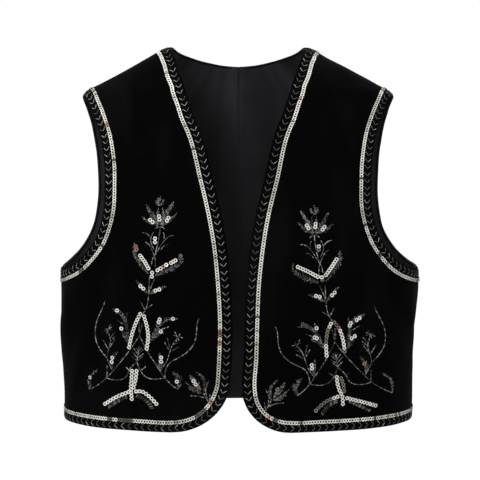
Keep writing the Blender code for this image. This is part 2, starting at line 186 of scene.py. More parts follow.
CREASE_FADE = 0.2
# Broad unevenness of the cloth: height, and waves for a metre along X, Y and Z with their phase
SWELLS = ((0.00035, 9.0, 5.0, 6.5, 0.4), (0.00025, -13.0, 11.0, 10.0, 1.9), (0.00018, 21.0, 16.0, -17.0, 3.1))

# Pleat down the middle of the back lining: height, how far it stands in
PLEAT = ((-0.415, 0.0), (-0.380, 0.0004), (-0.300, 0.0030), (-0.200, 0.0040), (-0.080, 0.0026), (-0.020, 0.0014))
PLEAT_HALF_WIDTH = 0.0085
# The fold line beside it: height, how deep the line is
PLEAT_LINE = ((-0.330, 0.0), (-0.240, 0.0004), (-0.150, 0.0010), (-0.040, 0.0013), (-0.022, 0.0010))
PLEAT_LINE_HALF_WIDTH, LINE_DEPTH_SHARE = 0.0011, 1.7
PLEAT_ROWS = (-0.016, -0.012, -0.0085, -0.0055, -0.0032, -0.0015, 0.0, 0.0015, 0.0032, 0.0055, 0.0085, 0.012, 0.016)

# The cloth laid flat: metres for a radian, and the stretch of the shoulder slope
FLAT_RADIUS, SLOPE_FROM, SLOPE_STRETCH = 0.16, -0.056, 2.1
BACK_MIDDLE = HALF * FLAT_RADIUS

# How far on either side a direction is measured: an angle and a height, on the form and on the cloth,
# and a distance along a line
FORM_REACH, CLOTH_REACH, LINE_REACH = (0.002, 0.0004), (0.006, 0.0010), 0.0008
# Walking from an edge into the cloth: the distance between the starts, and the steps of each walk
WALK_PITCH, WALK_STEPS = 0.002, 8
CORD_STEP = 0.002
# A sequin's radius, its hole's radius and its thickness, and the sides of a stitch
SEQUIN_SIZE, SEQUIN_SIDES, STITCH_SIDES = (0.00215, 0.00085, 0.00012), 12, 5


class Side(Enum):
    """The wearer's side that a piece belongs to, as a sign for its angles."""

    RIGHT = -1
    LEFT = 1

    @property
    def word(self) -> str:
        """The side's name in a piece's name."""
        return self.name.lower()


# height where a front's lower corner starts, its edge's distance from the centre, its width
CORNER = {Side.RIGHT: (-0.3620, 0.0078, 0.0660), Side.LEFT: (-0.3740, 0.0044, 0.0540)}


def hermite(t: Array, step: Any, low: Array, high: Array, low_slope: Array, high_slope: Array) -> Array:
    """Reads a smooth curve between two knots.

    Args:
        t: Share of the way from the first knot to the second.
        step: Distance between the knots.
        low: Values at the first knot.
        high: Values at the second knot.
        low_slope: Slopes at the first knot.
        high_slope: Slopes at the second knot.

    Returns:
        The values there.
    """
    return (
        (2 * t**3 - 3 * t**2 + 1) * low
        + (t**3 - 2 * t**2 + t) * step * low_slope
        + (3 * t**2 - 2 * t**3) * high
        + (t**3 - t**2) * step * high_slope
    )


def table_slopes(knots: Array, values: Array) -> Array:
    """Finds slopes that keep a smooth curve through a table from overshooting.

    Args:
        knots: The rows' positions, rising.
        values: One row of values for each knot.

    Returns:
        One row of slopes for each knot.
    """
    rises = np.diff(values, axis=0) / np.diff(knots)[:, None]
    slopes = np.zeros_like(values)
    slopes[0], slopes[-1] = rises[0], rises[-1]
    before, after = rises[:-1], rises[1:]
    total = np.where(before + after == 0, 1.0, before + after)
    slopes[1:-1] = np.where(before * after > 0, 2 * before * after / total, 0.0)
    return slopes


def smooth(knots: Array, values: Array, slopes: Array, where: Array) -> Array:
    """Reads a smooth curve through knots.

    Args:
        knots: The knots' positions, rising.
        values: One row of values for each knot.
        slopes: One row of slopes for each knot.
        where: The positions to read.

    Returns:
        One row of values for each position.
    """
    row = np.clip(np.searchsorted(knots, where) - 1, 0, len(knots) - 2)
    step = (knots[row + 1] - knots[row])[:, None]
    t = (where - knots[row])[:, None] / step
    return hermite(t, step, values[row], values[row + 1], slopes[row], slopes[row + 1])


def lengths(points: Array) -> Array:
    """Distances of points from the first one, along the line through them."""
    return np.concatenate([[0.0], np.cumsum(np.linalg.norm(np.diff(points, axis=0), axis=1))])


def unit(vectors: Array) -> Array:
    """Vectors of length one."""
    return vectors / np.maximum(np.linalg.norm(vectors, axis=-1, keepdims=True), 1e-12)


class Form:
    """The vest's outer form, with no creases."""

    def __init__(self) -> None:
        """Sorts the table of sections by height."""
        rows = np.array(FORM)[::-1]
        self.heights, self.values = rows[:, 0], rows[:, 1:]
        self.slopes = table_slopes(self.heights, self.values)

    def section(self, heights: Array) -> Array:
        """Half width, front depth, back depth and squareness, each a row over the heights."""
        return smooth(self.heights, self.values, self.slopes, heights).T

    def points(self, places: Array) -> Array:
        """Finds the form's points at places.

        Args:
            places: Rows of angle and height.

        Returns:
            Rows of x, y and z.
        """
        width, front, back, square = self.section(places[:, 1])
        across, forward = np.sin(places[:, 0]), np.cos(places[:, 0])
        size = (np.abs(across) ** square + np.abs(forward) ** square) ** (1 / square)
        depth = np.where(forward > 0, front, back)
        return np.stack([width * across / size, -depth * forward / size, places[:, 1]], axis=1)

    def outward(self, places: Array) -> Array:
        """The form's outward directions at places."""
        across, up = (self.points(places + reach) - self.points(places - reach) for reach in np.diag(FORM_REACH))
        return unit(np.cross(across, up))

    def places_of(self, points: Array) -> Array:
        """Finds the form's places at points' own heights, in the points' directions.

        Args:
            points: Rows of x, y and z.

        Returns:
            Rows of angle and height.
        """
        width, front, back, _ = self.section(points[:, 2])
        depth = np.where(points[:, 1] < 0, front, back)
        angles = np.arctan2(points[:, 0] / width, -points[:, 1] / depth)
        return np.stack([angles % (2 * HALF), points[:, 2]], axis=1)

    def across(self, distances: Any, heights: Any, front: bool) -> Array:
        """Finds the places at distances from the centre, on the front or on the back.

        Args:
            distances: Distances from the centre.
            heights: Their heights.
            front: True for the front.

        Returns:
            Rows of angle and height.
        """
        distances, heights = np.atleast_1d(distances).astype(float), np.atleast_1d(heights).astype(float)
        width, _, _, square = self.section(heights)
        share = np.minimum(distances / width, 1.0)
        angles = np.arctan2(share, (1 - share**square) ** (1 / square))
        return np.stack([angles if front else HALF - angles, heights], axis=1)

    def forward(self, distances: Array, heights: Array) -> Array:
        """Finds the places at distances in front of the ridge of the shoulder.

        Args:
            distances: Distances in front of the ridge.
            heights: Their heights.

        Returns:
            Rows of angle and height.
        """
        _, front, _, square = self.section(heights)
        share = distances / front
        return np.stack([np.arctan2((1 - np.abs(share) ** square) ** (1 / square), share), heights], axis=1)


class Cloth:
    """The velvet's outer face: the form with its creases."""

    def __init__(self, form: Form) -> None:
        """Works out the creases' lines.

        Args:
            form: The form under the cloth.
        """
        self.form = form
        table = (*MAIN_CREASES, *LESSER_CREASES)
        ends = [[(math.radians(end[0]), end[1]) for end in row[:2]] for row in table]
        self.starts = form.points(np.array([row[0] for row in ends]))
        self.runs = form.points(np.array([row[1] for row in ends])) - self.starts
        self.half_widths = [row[2] for row in table]
        self.depths = [row[3] for row in table]

    def rise(self, points: Array) -> Array:
        """Finds how far the cloth stands out from the form.

        Args:
            points: Points of the form.

        Returns:
            The distance at each point.
        """
        total = np.zeros(len(points))
        for start, run, half_width, depth in zip(self.starts, self.runs, self.half_widths, self.depths):
            share = (points - start) @ run / (run @ run)
            away = np.linalg.norm(points - start - run * np.clip(share, 0, 1)[:, None], axis=1) / half_width
            along = np.sin(math.pi * (share + CREASE_FADE) / (1 + 2 * CREASE_FADE))
            near = (share > -CREASE_FADE) & (share < 1 + CREASE_FADE)
            total += np.where(near, depth * along * np.exp(-(away**2)), 0.0)
        for height, *waves, phase in SWELLS:
            total += height * np.sin(points @ (2 * math.pi * np.array(waves)) + phase)
        return total

    def seat(self, places: Array, side: Side = Side.LEFT) -> tuple[Array, Array]:
        """Finds the points of the velvet's face at places, and the outward directions.

        Args:
            places: Rows of angle and height, on the left half.
            side: The side that they are meant for.

        Returns:
            The points and the form's outward directions.
        """
        signed = np.atleast_2d(places) * (side.value, 1)
        points, outs = self.form.points(signed), self.form.outward(signed)
        return points + outs * self.rise(points)[:, None], outs

    def normals(self, places: Array, side: Side = Side.LEFT) -> Array:
        """The directions that the creased velvet faces, at places on the left half meant for a side."""
        ends = [[self.seat(places + sign * reach, side)[0] for sign in (1, -1)] for reach in np.diag(CLOTH_REACH)]
        return unit(np.cross(ends[0][0] - ends[0][1], ends[1][0] - ends[1][1])) * side.value


class Line:
    """A line through places, read by its length."""

    def __init__(self, places: Array, points: Array) -> None:
        """Measures the line through places and their points."""
        self.places, self.run = places, lengths(points)
        self.length = float(self.run[-1])

    def at(self, distances: Array) -> Array:
        """Places at distances along the line."""
        return np.stack([np.interp(distances, self.run, self.places[:, axis]) for axis in (0, 1)], axis=1)


class Curve(Line):
    """A smooth line on the form through places."""

    STEPS = 14

    def __init__(self, form: Form, places: Sequence[Any]) -> None:
        """Draws the line.

        Args:
            form: The form that it lies on.
            places: The places that it passes through.
        """
        knots_at = np.array([tuple(place) for place in places], float)
        knots = lengths(form.points(knots_at))
        slopes = np.gradient(knots_at, knots, axis=0)
        shares = np.linspace(0, 1, self.STEPS + 1)[1:, None]
        dense = [knots_at[:1]]
        for i, step in enumerate(np.diff(knots)):
            dense.append(hermite(shares, step, knots_at[i], knots_at[i + 1], slopes[i], slopes[i + 1]))
        places = np.concatenate(dense)
        super().__init__(places, form.points(places))

    def cut(self, step: float) -> Array:
        """Places about a step apart, without the last one."""
        return self.at(np.linspace(0, self.length, round(self.length / step) + 1)[:-1])


@dataclass
class Pattern:
    """The vest's cut: the lines that its pieces and borders follow, for the left half."""

    form: Form

    def hem(self, first: float, last: float, count: int) -> list[Array]:
        """Places along the hem.

        Args:
            first: The first angle.
            last: The last angle.
            count: How many places.

        Returns:
            The places in order.
        """
        angles = np.linspace(first, last, count)
        heights = HEM_SIDE - HEM_FALL * np.cos(angles) - HEM_DIP * np.cos(angles) ** 2
        return list(np.stack([angles, heights], axis=1))

    def shoulder(self, shift: float = 0.0) -> list[Array]:
        """Places along the shoulder seam, from the neck to the armhole.

        Args:
            shift: How far forward of the seam they lie.

        Returns:
            The places in order.
        """
        ends = np.concatenate([self.form.across(*end, True) for end in SHOULDER_SEAM])
        neck, arm = self.form.points(ends)
        line = neck + (arm - neck) * np.linspace(0, 1, 9)[:, None]
        return list(self.form.forward(-line[:, 1] + shift, line[:, 2]))

    def neck(self) -> list[Array]:
        """The back neck, from the centre back up to the ridge of the shoulder."""
        return [*self.form.across(*np.transpose(BACK_NECK), False), np.array([QUARTER, NECK_POINT_HEIGHT])]

    def front_edge(self, side: Side) -> list[Array]:
        """A front's edge, from below the shoulder seam to the start of its rounded corner.

        Args:
            side: Which front.

        Returns:
            The places in order.
        """
        rows = np.array(FRONT_EDGE)
        start, distance, _ = CORNER[side]
        column = 1 if side is Side.RIGHT else 2
        return list(self.form.across([*rows[:, column], distance], [*rows[:, 0], start], True))

    def corner(self, side: Side, count: int = 9) -> list[Array]:
        """A front's rounded lower corner, from its edge to its hem.

        Args:
            side: Which front.
            count: How many places.

        Returns:
            The places in order.
        """
        start, distance, width = CORNER[side]
        middle = distance + width
        angle = self.form.across(middle, start, True)[0, 0]
        hem_height = self.hem(angle, angle, 1)[0][1]
        turns = np.linspace(0, QUARTER, count)
        heights = start - (start - hem_height) * np.sin(turns)
        return list(self.form.across(middle - width * np.cos(turns), heights, True))

    def armhole(self, front: bool) -> list[Array]:
        """An armhole of a front or of the back, from below its top down to above the underarm."""
        places = list(self.form.across(*np.transpose(FRONT_ARMHOLE if front else BACK_ARMHOLE), front))
        return places if front else [np.array([QUARTER, ARMHOLE_TIP_HEIGHT]), *places]

    def front_outline(self, side: Side, gap: float, step: float) -> Array:
        """The places round a front.

        Args:
            side: Which front.
            gap: The gap at its seams.
            step: The distance between places.

        Returns:
            Rows of angle and height.
        """
        turn = gap / 2 / SIDE_DEPTH
        seam, corner = self.shoulder(gap / 2), self.corner(side)
        under, hem_end = (QUARTER - turn, UNDERARM_HEIGHT), (QUARTER - turn, HEM_SIDE)
        lines = (
            [seam[0], *self.front_edge(side), *corner[1:]],
            [*self.hem(corner[-1][0], QUARTER, 9)[:-1], hem_end],
            [hem_end, under],
            [under, *reversed(self.armhole(True)), seam[-1]],
            seam[::-1],
        )
        return np.concatenate([Curve(self.form, line).cut(step) for line in lines])

    def back_outline(self, gap: float, step: float) -> Array:
        """The places round the back.

        Args:
            gap: The gap at its seams.
            step: The distance between places.

        Returns:
            Rows of angle and height.
        """
        turn = gap / 2 / SIDE_DEPTH
        seam = self.shoulder(-gap / 2)
        under, hem_end = (QUARTER + turn, UNDERARM_HEIGHT), (QUARTER + turn, HEM_SIDE)
        lines = (
            [*self.hem(HALF, QUARTER, 12)[:-1], hem_end],
            [hem_end, under],
            [under, *reversed(self.armhole(False)), seam[-1]],
            seam[::-1],
            [seam[0], *reversed(self.neck())],
        )
        curves = [Curve(self.form, line) for line in lines]
        half = np.concatenate([*(curve.cut(step) for curve in curves), curves[-1].places[-1:]])
        return np.concatenate([half, (2 * HALF, 0) + half[-2:0:-1] * (-1, 1)])

    def in_front(self, points: Array) -> Array:
        """How far points lie in front of the side and shoulder seams.

        Args:
            points: Points of the form.

        Returns:
            The distance at each point, negative behind a seam.
        """
        ends = np.concatenate([self.form.across(*end, True) for end in SHOULDER_SEAM])
        neck, arm = self.form.points(ends)
        share = np.clip((neck[2] - points[:, 2]) / (neck[2] - arm[2]), 0, 1)
        before_shoulder = neck[1] + (arm[1] - neck[1]) * share - points[:, 1]
        above = points[:, 2] > SHOULDER_REACH
        return np.where(above, np.minimum(-points[:, 1], before_shoulder), -points[:, 1])

    def edge_line(self, side: Side) -> Curve:
        """A front's whole border line, from behind the neck to behind the side seam.

        Args:
            side: Which front.

        Returns:
            The line.
        """
        corner = self.corner(side)
        hem = [*self.hem(corner[-1][0], QUARTER, 9)[1:], *self.hem(QUARTER, QUARTER * 1.3, 4)[1:]]
        places = [*self.neck()[-2:], self.shoulder()[0], *self.front_edge(side), *corner[1:], *hem]
        return Curve(self.form, places)

    def armhole_line(self, front: bool) -> Curve:
        """The border line round an armhole's front or back half, with some of the other half at each end.

        Args:
            front: True for the front half.

        Returns:
            The line.
        """
        here, there = self.armhole(front), self.armhole(not front)
        before = there[1::-1] if front else there[:1]
        places = [*before, self.shoulder()[-1], *here, (QUARTER, UNDERARM_HEIGHT), *there[:-4:-1]]
        return Curve(self.form, places)

    def back_neck_line(self) -> Curve:
        """The border line round the back's neck, with some of the fronts' edges at each end.

        Returns:
            The line.
        """
        half = [*self.front_edge(Side.LEFT)[2::-1], self.shoulder()[0], *reversed(self.neck())]
        other = [(2 * HALF - angle, height) for angle, height in reversed(half[:-1])]
        return Curve(self.form, [*half, *other])

    def back_hem_line(self) -> Curve:
        """The border line along the back's hem, with some of the fronts' at each end."""
        return Curve(self.form, self.hem(QUARTER * 0.7, QUARTER * 3.3, 40))


# ---- Finishes ----


@dataclass
class Number:
    """A number that changes over a surface, as the socket that gives it."""

    tree: bpy.types.NodeTree
    socket: bpy.types.NodeSocket

    def maths(self, operation: str, *others: Number | float, turned: bool = False) -> Number:
        """Adds a Math node.

        Args:
            operation: The node's operation.
            others: Its further values.
            turned: True if this number comes after the first of them.

        Returns:
            The node's result.
        """
        node = self.tree.nodes.new("ShaderNodeMath")
        node.operation = operation
        values = [*others, self] if turned else [self, *others]
        for place, value in zip(node.inputs, values):
            if isinstance(value, Number):
                self.tree.links.new(value.socket, place)
            else:
                place.default_value = value
        return Number(self.tree, node.outputs[0])

    def __add__(self, other: Number | float) -> Number:
        """A sum."""
        return self.maths("ADD", other)

    def __sub__(self, other: Number | float) -> Number:
        """A difference."""
        return self.maths("SUBTRACT", other)

    def __rsub__(self, other: float) -> Number:
        """A difference from a plain number."""
        return self.maths("SUBTRACT", other, turned=True)

    def __mul__(self, other: Number | float) -> Number:
        """A product."""
        return self.maths("MULTIPLY", other)

    def __abs__(self) -> Number:
        """The size of the number, without its sign."""
        return self.maths("ABSOLUTE")

    __radd__, __rmul__ = __add__, __mul__

    def wave(self) -> Number:
        """A wave between 0 and 1, once for each whole number."""
        return (self * (2 * math.pi)).maths("SINE") * 0.5 + 0.5

    def kept(self) -> Number:
        """The number kept between 0 and 1."""
        return self.maths("ADD", 0.0).clamped()

    def clamped(self) -> Number:
        """The same number, with its own node's Clamp on."""
        self.socket.node.use_clamp = True
        return self


Colour = Triple


class Nodes:
    """The nodes of one shader."""

    def __init__(self, tree: bpy.types.NodeTree, shader: str) -> None:
        """Keeps the tree and its shader node, which is given by name."""
        self.tree, self.shader = tree, tree.nodes[shader]

    def set(self, socket: str, value: Any) -> None:
        """Gives one of the shader's sockets a value or a link."""
        self._give(self.shader.inputs[socket], value)

    def _give(self, place: bpy.types.NodeSocket, value: Any) -> None:
        """Gives a socket its value or link.

        Args:
            place: The socket.
            value: A number, a colour, or the socket or number to link.
        """
        if isinstance(value, Number):
            value = value.socket
        if isinstance(value, bpy.types.NodeSocket):
            self.tree.links.new(value, place)
        elif isinstance(value, tuple) and len(value) == 3 and len(place.default_value) == 4:
            place.default_value = (*value, 1)
        else:
            place.default_value = value

    def node(self, kind: str, settings: dict[str, Any] | None = None, **sockets: Any) -> bpy.types.Node:
        """Adds a node.

        Args:
            kind: Its type, without ShaderNode.
            settings: Its settings, which are set first; stops are a ramp's positions and colours.
            sockets: Values or links of its inputs, with _ for a space, or a number after i_.

        Returns:
            The node.
        """
        made = self.tree.nodes.new("ShaderNode" + kind)
        for setting, value in (settings or {}).items():
            if setting == "stops":
                stops = made.color_ramp.elements
                for spare in range(len(value) - 2):
                    stops.new(0.5 + 0.001 * spare)
                for stop, (position, colour) in zip(list(stops), value):
                    stop.position, stop.color = position, (*colour, 1)
            else:
                setattr(made, setting, value)
        for socket, value in sockets.items():
            key = int(socket[2:]) if socket.startswith("i_") else socket.replace("_", " ")
            self._give(made.inputs[key], value)
        return made

    def place(self, source: str = "Object") -> bpy.types.NodeSocket:
        """The surface's Object coordinates, or its UV map."""
        return self.node("TexCoord").outputs[source]

    def noise(self, scale: float, detail: float = 2.0, source: Any = None) -> Number:
        """A soft noise between 0 and 1, with so many cells for a metre, on the Object coordinates or on others."""
        found = self.node("TexNoise", Vector=source or self.place(), Scale=scale, Detail=detail)
        return Number(self.tree, found.outputs["Fac"])

    def along(self, axis: str, source: bpy.types.NodeSocket) -> Number:
        """One coordinate of a place: X, Y or Z."""
        return Number(self.tree, self.node("SeparateXYZ", Vector=source).outputs[axis])

    def blend(self, share: Number, low: Colour, high: Colour) -> bpy.types.NodeSocket:
        """A colour between two, as far towards the second as the share says."""
        return self.node("Mix", {"data_type": "RGBA"}, i_0=share, i_6=low, i_7=high).outputs[2]

    def ramp(self, share: Number, stops: Sequence[tuple[float, Colour]]) -> bpy.types.NodeSocket:
        """A colour read off a ramp of positions and colours."""
        return self.node("ValToRGB", {"stops": stops}, i_0=share).outputs["Color"]


class Finish(Nodes):
    """A material in the making, with its Principled shader."""

    def __init__(self, name: str, **sockets: Any) -> None:
        """Makes the material.

        Args:
            name: The material's name.
            sockets: Constant values of the shader's sockets, with _ for a space.
        """
        self.material = bpy.data.materials.new(name)
        self.material.use_nodes = True
        super().__init__(self.material.node_tree, "Principled BSDF")
        for socket, value in sockets.items():
            self.set(socket.replace("_", " "), value)

    def bump(self, height: Number, strength: float, depth: float) -> None:
        """Raises the surface by a height between 0 and 1, where 1 stands for a depth in metres."""
        made = self.node("Bump", Strength=strength, Distance=depth, Height=height)
        self.set("Normal", made.outputs["Normal"])


@dataclass(frozen=True)
class Velvet:
    """Black cotton velvet: a short pile that lies a little unevenly, with painted streaks of sheen like those on its
    folds.
    """

    deep: Colour = (0.0006, 0.0006, 0.0006)
    painted_sheen: Colour = (0.0066, 0.0066, 0.0065)
    pile_cells: float = 2600.0
    brushed_cells: float = 15.0
    # The painted sheen streaks stand upright and lean a little
    upright: float = 0.35
    lean: float = 0.3
    pile_depth: float = 0.0006

    def make(self) -> bpy.types.Material:
        """Makes the material.

        Returns:
            The material.
        """
        made = Finish("black_velvet", Roughness=0.95, Specular_IOR_Level=0.02, Sheen_Weight=0.03)
        made.set("Sheen Roughness", 0.35)
        made.set("Sheen Tint", (0.9, 0.9, 0.95, 1.0))
        turn, scale = (0.0, self.lean, 0.0), (1.0, 1.0, self.upright)
        stretched = made.node("Mapping", Vector=made.place(), Rotation=turn, Scale=scale)
        lay_and_sheen = made.noise(self.brushed_cells, 4.0, stretched.outputs[0])
        pile = made.noise(self.pile_cells, 3.0)
        # Painted sheen: the stretched noise lightens the black in streaks like sheen on folds; the fine pile noise is
        # the pile's own tone
        tone = ((lay_and_sheen - 0.47) * 3.2).clamped() * 0.62 + pile * 0.22
        made.set("Base Color", made.blend(tone, self.deep, self.painted_sheen))
        made.bump(pile * 0.7 + lay_and_sheen * 0.3, 0.5, self.pile_depth)
        return made.material


@dataclass(frozen=True)
class Satin:
    """Charcoal satin lining, with its fine twill lines and slight slubs, and painted light and shade on its folds,
    pleat, hem and sides.
    """

    dark: Colour = (0.0060, 0.0059, 0.0068)
    light: Colour = (0.0335, 0.0331, 0.0378)
    twill_lines: float = 900.0
    slub_cells: float = 38.0
    # Painted light and shade of hanging folds: noise cells, stretched upright
    fold_cells: float = 26.0
    fold_stretch: float = 0.12
    # Painted shade, darker towards the hem: where it is darkest, and how fast it pales above
    dark_below: float = -0.42
    shade_fading: float = 2.6
    # A painted highlight on the lit side of the pleat: its place and narrowness
    fold_aside: float = 0.004
    fold_narrow: float = 60.0
    # Painted light: distance from the back's middle where the lining starts to be painted paler towards the armholes'
    # seams, and how fast it pales
    pressed_from: float = 0.1225
    pressed_rise: float = 40.0

    def make(self) -> bpy.types.Material:
        """Makes the material.

        Returns:
            The material.
        """
        made = Finish("charcoal_satin", Specular_IOR_Level=0.17, Anisotropic=0.35)
        cut = made.place("UV")
        across, up = made.along("X", cut), made.along("Y", cut)
        twill = (across * self.twill_lines + up * (self.twill_lines * 0.6)).wave()
        slub = made.noise(self.slub_cells, 5.0)
        hanging = made.node("Mapping", Vector=cut, Scale=(1.0, self.fold_stretch, 1.0))
        fold_shading = made.noise(self.fold_cells, 2.0, hanging.outputs[0])
        height = ((up - self.dark_below) * self.shade_fading).clamped()
        aside = (across - BACK_MIDDLE - self.fold_aside) * self.fold_narrow
        beside = (1.0 - aside * aside).clamped()
        side_light = ((abs(across - BACK_MIDDLE) - self.pressed_from) * self.pressed_rise).clamped() * height
        # Twill and slubs are the satin's own tone; the folds, the pale line beside the pleat and the darkening towards
        # the hem are painted light and shade
        tone = slub * 0.2 + twill * 0.08 + (fold_shading - 0.5) * 1.6 + beside * 0.22 + height * 0.50 - 0.165
        # Painted light on the sides, towards the armholes, left out towards the hem with the painted shade there
        tone = (tone.kept() + side_light * 1.6).clamped()
        made.set("Base Color", made.blend(tone, self.dark, self.light))
        made.set("Roughness", (slub * 0.18 + 0.36).clamped())
        made.bump(twill * 0.5 + slub * 0.5, 0.35, 0.0004)
        return made.material


@dataclass(frozen=True)
class Sequins:
    """Pearly white sequins, each of its own tone, with a few dull and a few copper ones."""

    stops: tuple[tuple[float, Colour], ...] = (
        (0.0, (0.70, 0.37, 0.22)),
        (0.12, (0.24, 0.12, 0.06)),
        (0.25, (0.06, 0.052, 0.042)),
        (0.45, (0.26, 0.25, 0.20)),
        (0.66, (0.80, 0.78, 0.68)),
        (1.0, (0.98, 0.975, 0.95)),
    )
    grain_cells: float = 900.0

    def make(self) -> bpy.types.Material:
        """Makes the material.

        Returns:
            The material.
        """
        made = Finish("pearl_sequins", Metallic=0.0, Coat_Weight=0.6, Coat_Roughness=0.15)
        tone = Number(made.tree, made.node("Attribute", {"attribute_name": "tone"}).outputs["Fac"])
        grain = made.noise(self.grain_cells)
        made.set("Base Color", made.ramp((tone + (grain - 0.5) * 0.06).clamped(), self.stops))
        made.set("Roughness", (0.34 - tone * 0.12).clamped())
        return made.material


@dataclass(frozen=True)
class Thread:
    """Embroidery thread of one tone, with the sheen and ridges of its strands."""

    name: str
    dull: Colour
    bright: Colour
    gloss: float
    metallic: float
    strand_cells: float = 1400.0
    wear_cells: float = 170.0

    def make(self) -> bpy.types.Material:
        """Makes the material.

        Returns:
            The material.
        """
        made = Finish(self.name, Specular_IOR_Level=self.gloss, Metallic=self.metallic)
        strands, wear = made.noise(self.strand_cells, 3.0), made.noise(self.wear_cells, 3.0)
        tone = ((strands - 0.3) * 1.7).clamped() * 0.6 + ((wear - 0.3) * 1.8).clamped() * 0.4
        made.set("Base Color", made.blend(tone, self.dull, self.bright))
        made.set("Roughness", (wear * 0.25 + 0.35).clamped())
        made.bump(strands, 0.6, 0.0004)
        return made.material


@dataclass(frozen=True)
class Paper:
    """The plain white floor."""

    white: Colour = (0.52, 0.52, 0.52)
    bright: Colour = (0.56, 0.56, 0.56)
    grain_cells: float = 40.0

    def make(self) -> bpy.types.Material:
        """Makes the material.

        Returns:
            The material.
        """
        made = Finish("white_floor", Roughness=0.8, Specular_IOR_Level=0.2)
        made.set("Base Color", made.blend(made.noise(self.grain_cells), self.white, self.bright))
        return made.material


# Thread: name, dull tone, bright tone, gloss, metallic share
THREADS = (
    ("silver_thread", (0.17, 0.17, 0.17), (0.60, 0.59, 0.57), 0.4, 0.25),
    ("grey_thread", (0.045, 0.044, 0.043), (0.22, 0.215, 0.205), 0.4, 0.25),
    ("dark_thread", (0.012, 0.012, 0.012), (0.055, 0.054, 0.052), 0.4, 0.25),
    ("black_thread", (0.0015, 0.0015, 0.0015), (0.006, 0.006, 0.006), 0.05, 0.0),
)


class Finishes:
    """Every finish of the vest."""

    def __init__(self) -> None:
        """Makes the materials."""
        self.velvet, self.satin, self.sequins = Velvet().make(), Satin().make(), Sequins().make()
        self.silver, self.grey, self.dark, self.black = (Thread(*row).make() for row in THREADS)


# ---- Making and placing meshes ----


def deselect() -> None:
    """Leaves nothing selected."""
    for one in bpy.context.selected_objects:
        one.select_set(False)


def make_active(piece: bpy.types.Object) -> None:
    """Selects one object alone and makes it active.

    Args:
        piece: The object.
    """
    deselect()
    piece.select_set(True)
    bpy.context.view_layer.objects.active = piece


def add_modifier(piece: bpy.types.Object, kind: str, **settings: Any) -> None:
    """Adds a modifier to an object and applies it.

    Args:
        piece: The object.
        kind: The modifier's type.
        settings: Its settings.
    """
    modifier = piece.modifiers.new(kind.title(), kind)
    for setting, value in settings.items():
        setattr(modifier, setting, value)
    make_active(piece)
    bpy.ops.object.modifier_apply(modifier=modifier.name)


def new_piece(name: str, points: Array, faces: Sequence[Any], *finishes: bpy.types.Material) -> bpy.types.Object:
    """Makes an object from points and faces.

    Args:
        name: The object's name.
        points: Rows of x, y and z.
        faces: Each a row of indices.
        finishes: Its materials.

    Returns:
        The object, at the origin.
    """
    mesh = bpy.data.meshes.new(name)
    mesh.from_pydata(np.asarray(points).tolist(), [], [tuple(map(int, face)) for face in faces])
    for finish in finishes:
        mesh.materials.append(finish)
    piece = bpy.data.objects.new(name, mesh)
    bpy.context.scene.collection.objects.link(piece)
    return piece


def settle(piece: bpy.types.Object, slot: str, *nodes: str, angle: float = 50.0) -> bpy.types.Object:
    """Smooths a finished piece's shading and makes it ride with the vest.

    Args:
        piece: The object.
        slot: The record's material slot; not used.
        nodes: The solids that it stands for.
        angle: Edges sharper than this many degrees stay sharp.

    Returns:
        The object.
    """
    make_active(piece)
    bpy.ops.object.shade_smooth_by_angle(angle=math.radians(angle))
    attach(piece, "root")
    if nodes:
        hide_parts(*nodes)
    LOG.info("%s: %d faces", piece.name, len(piece.data.polygons))
    return piece


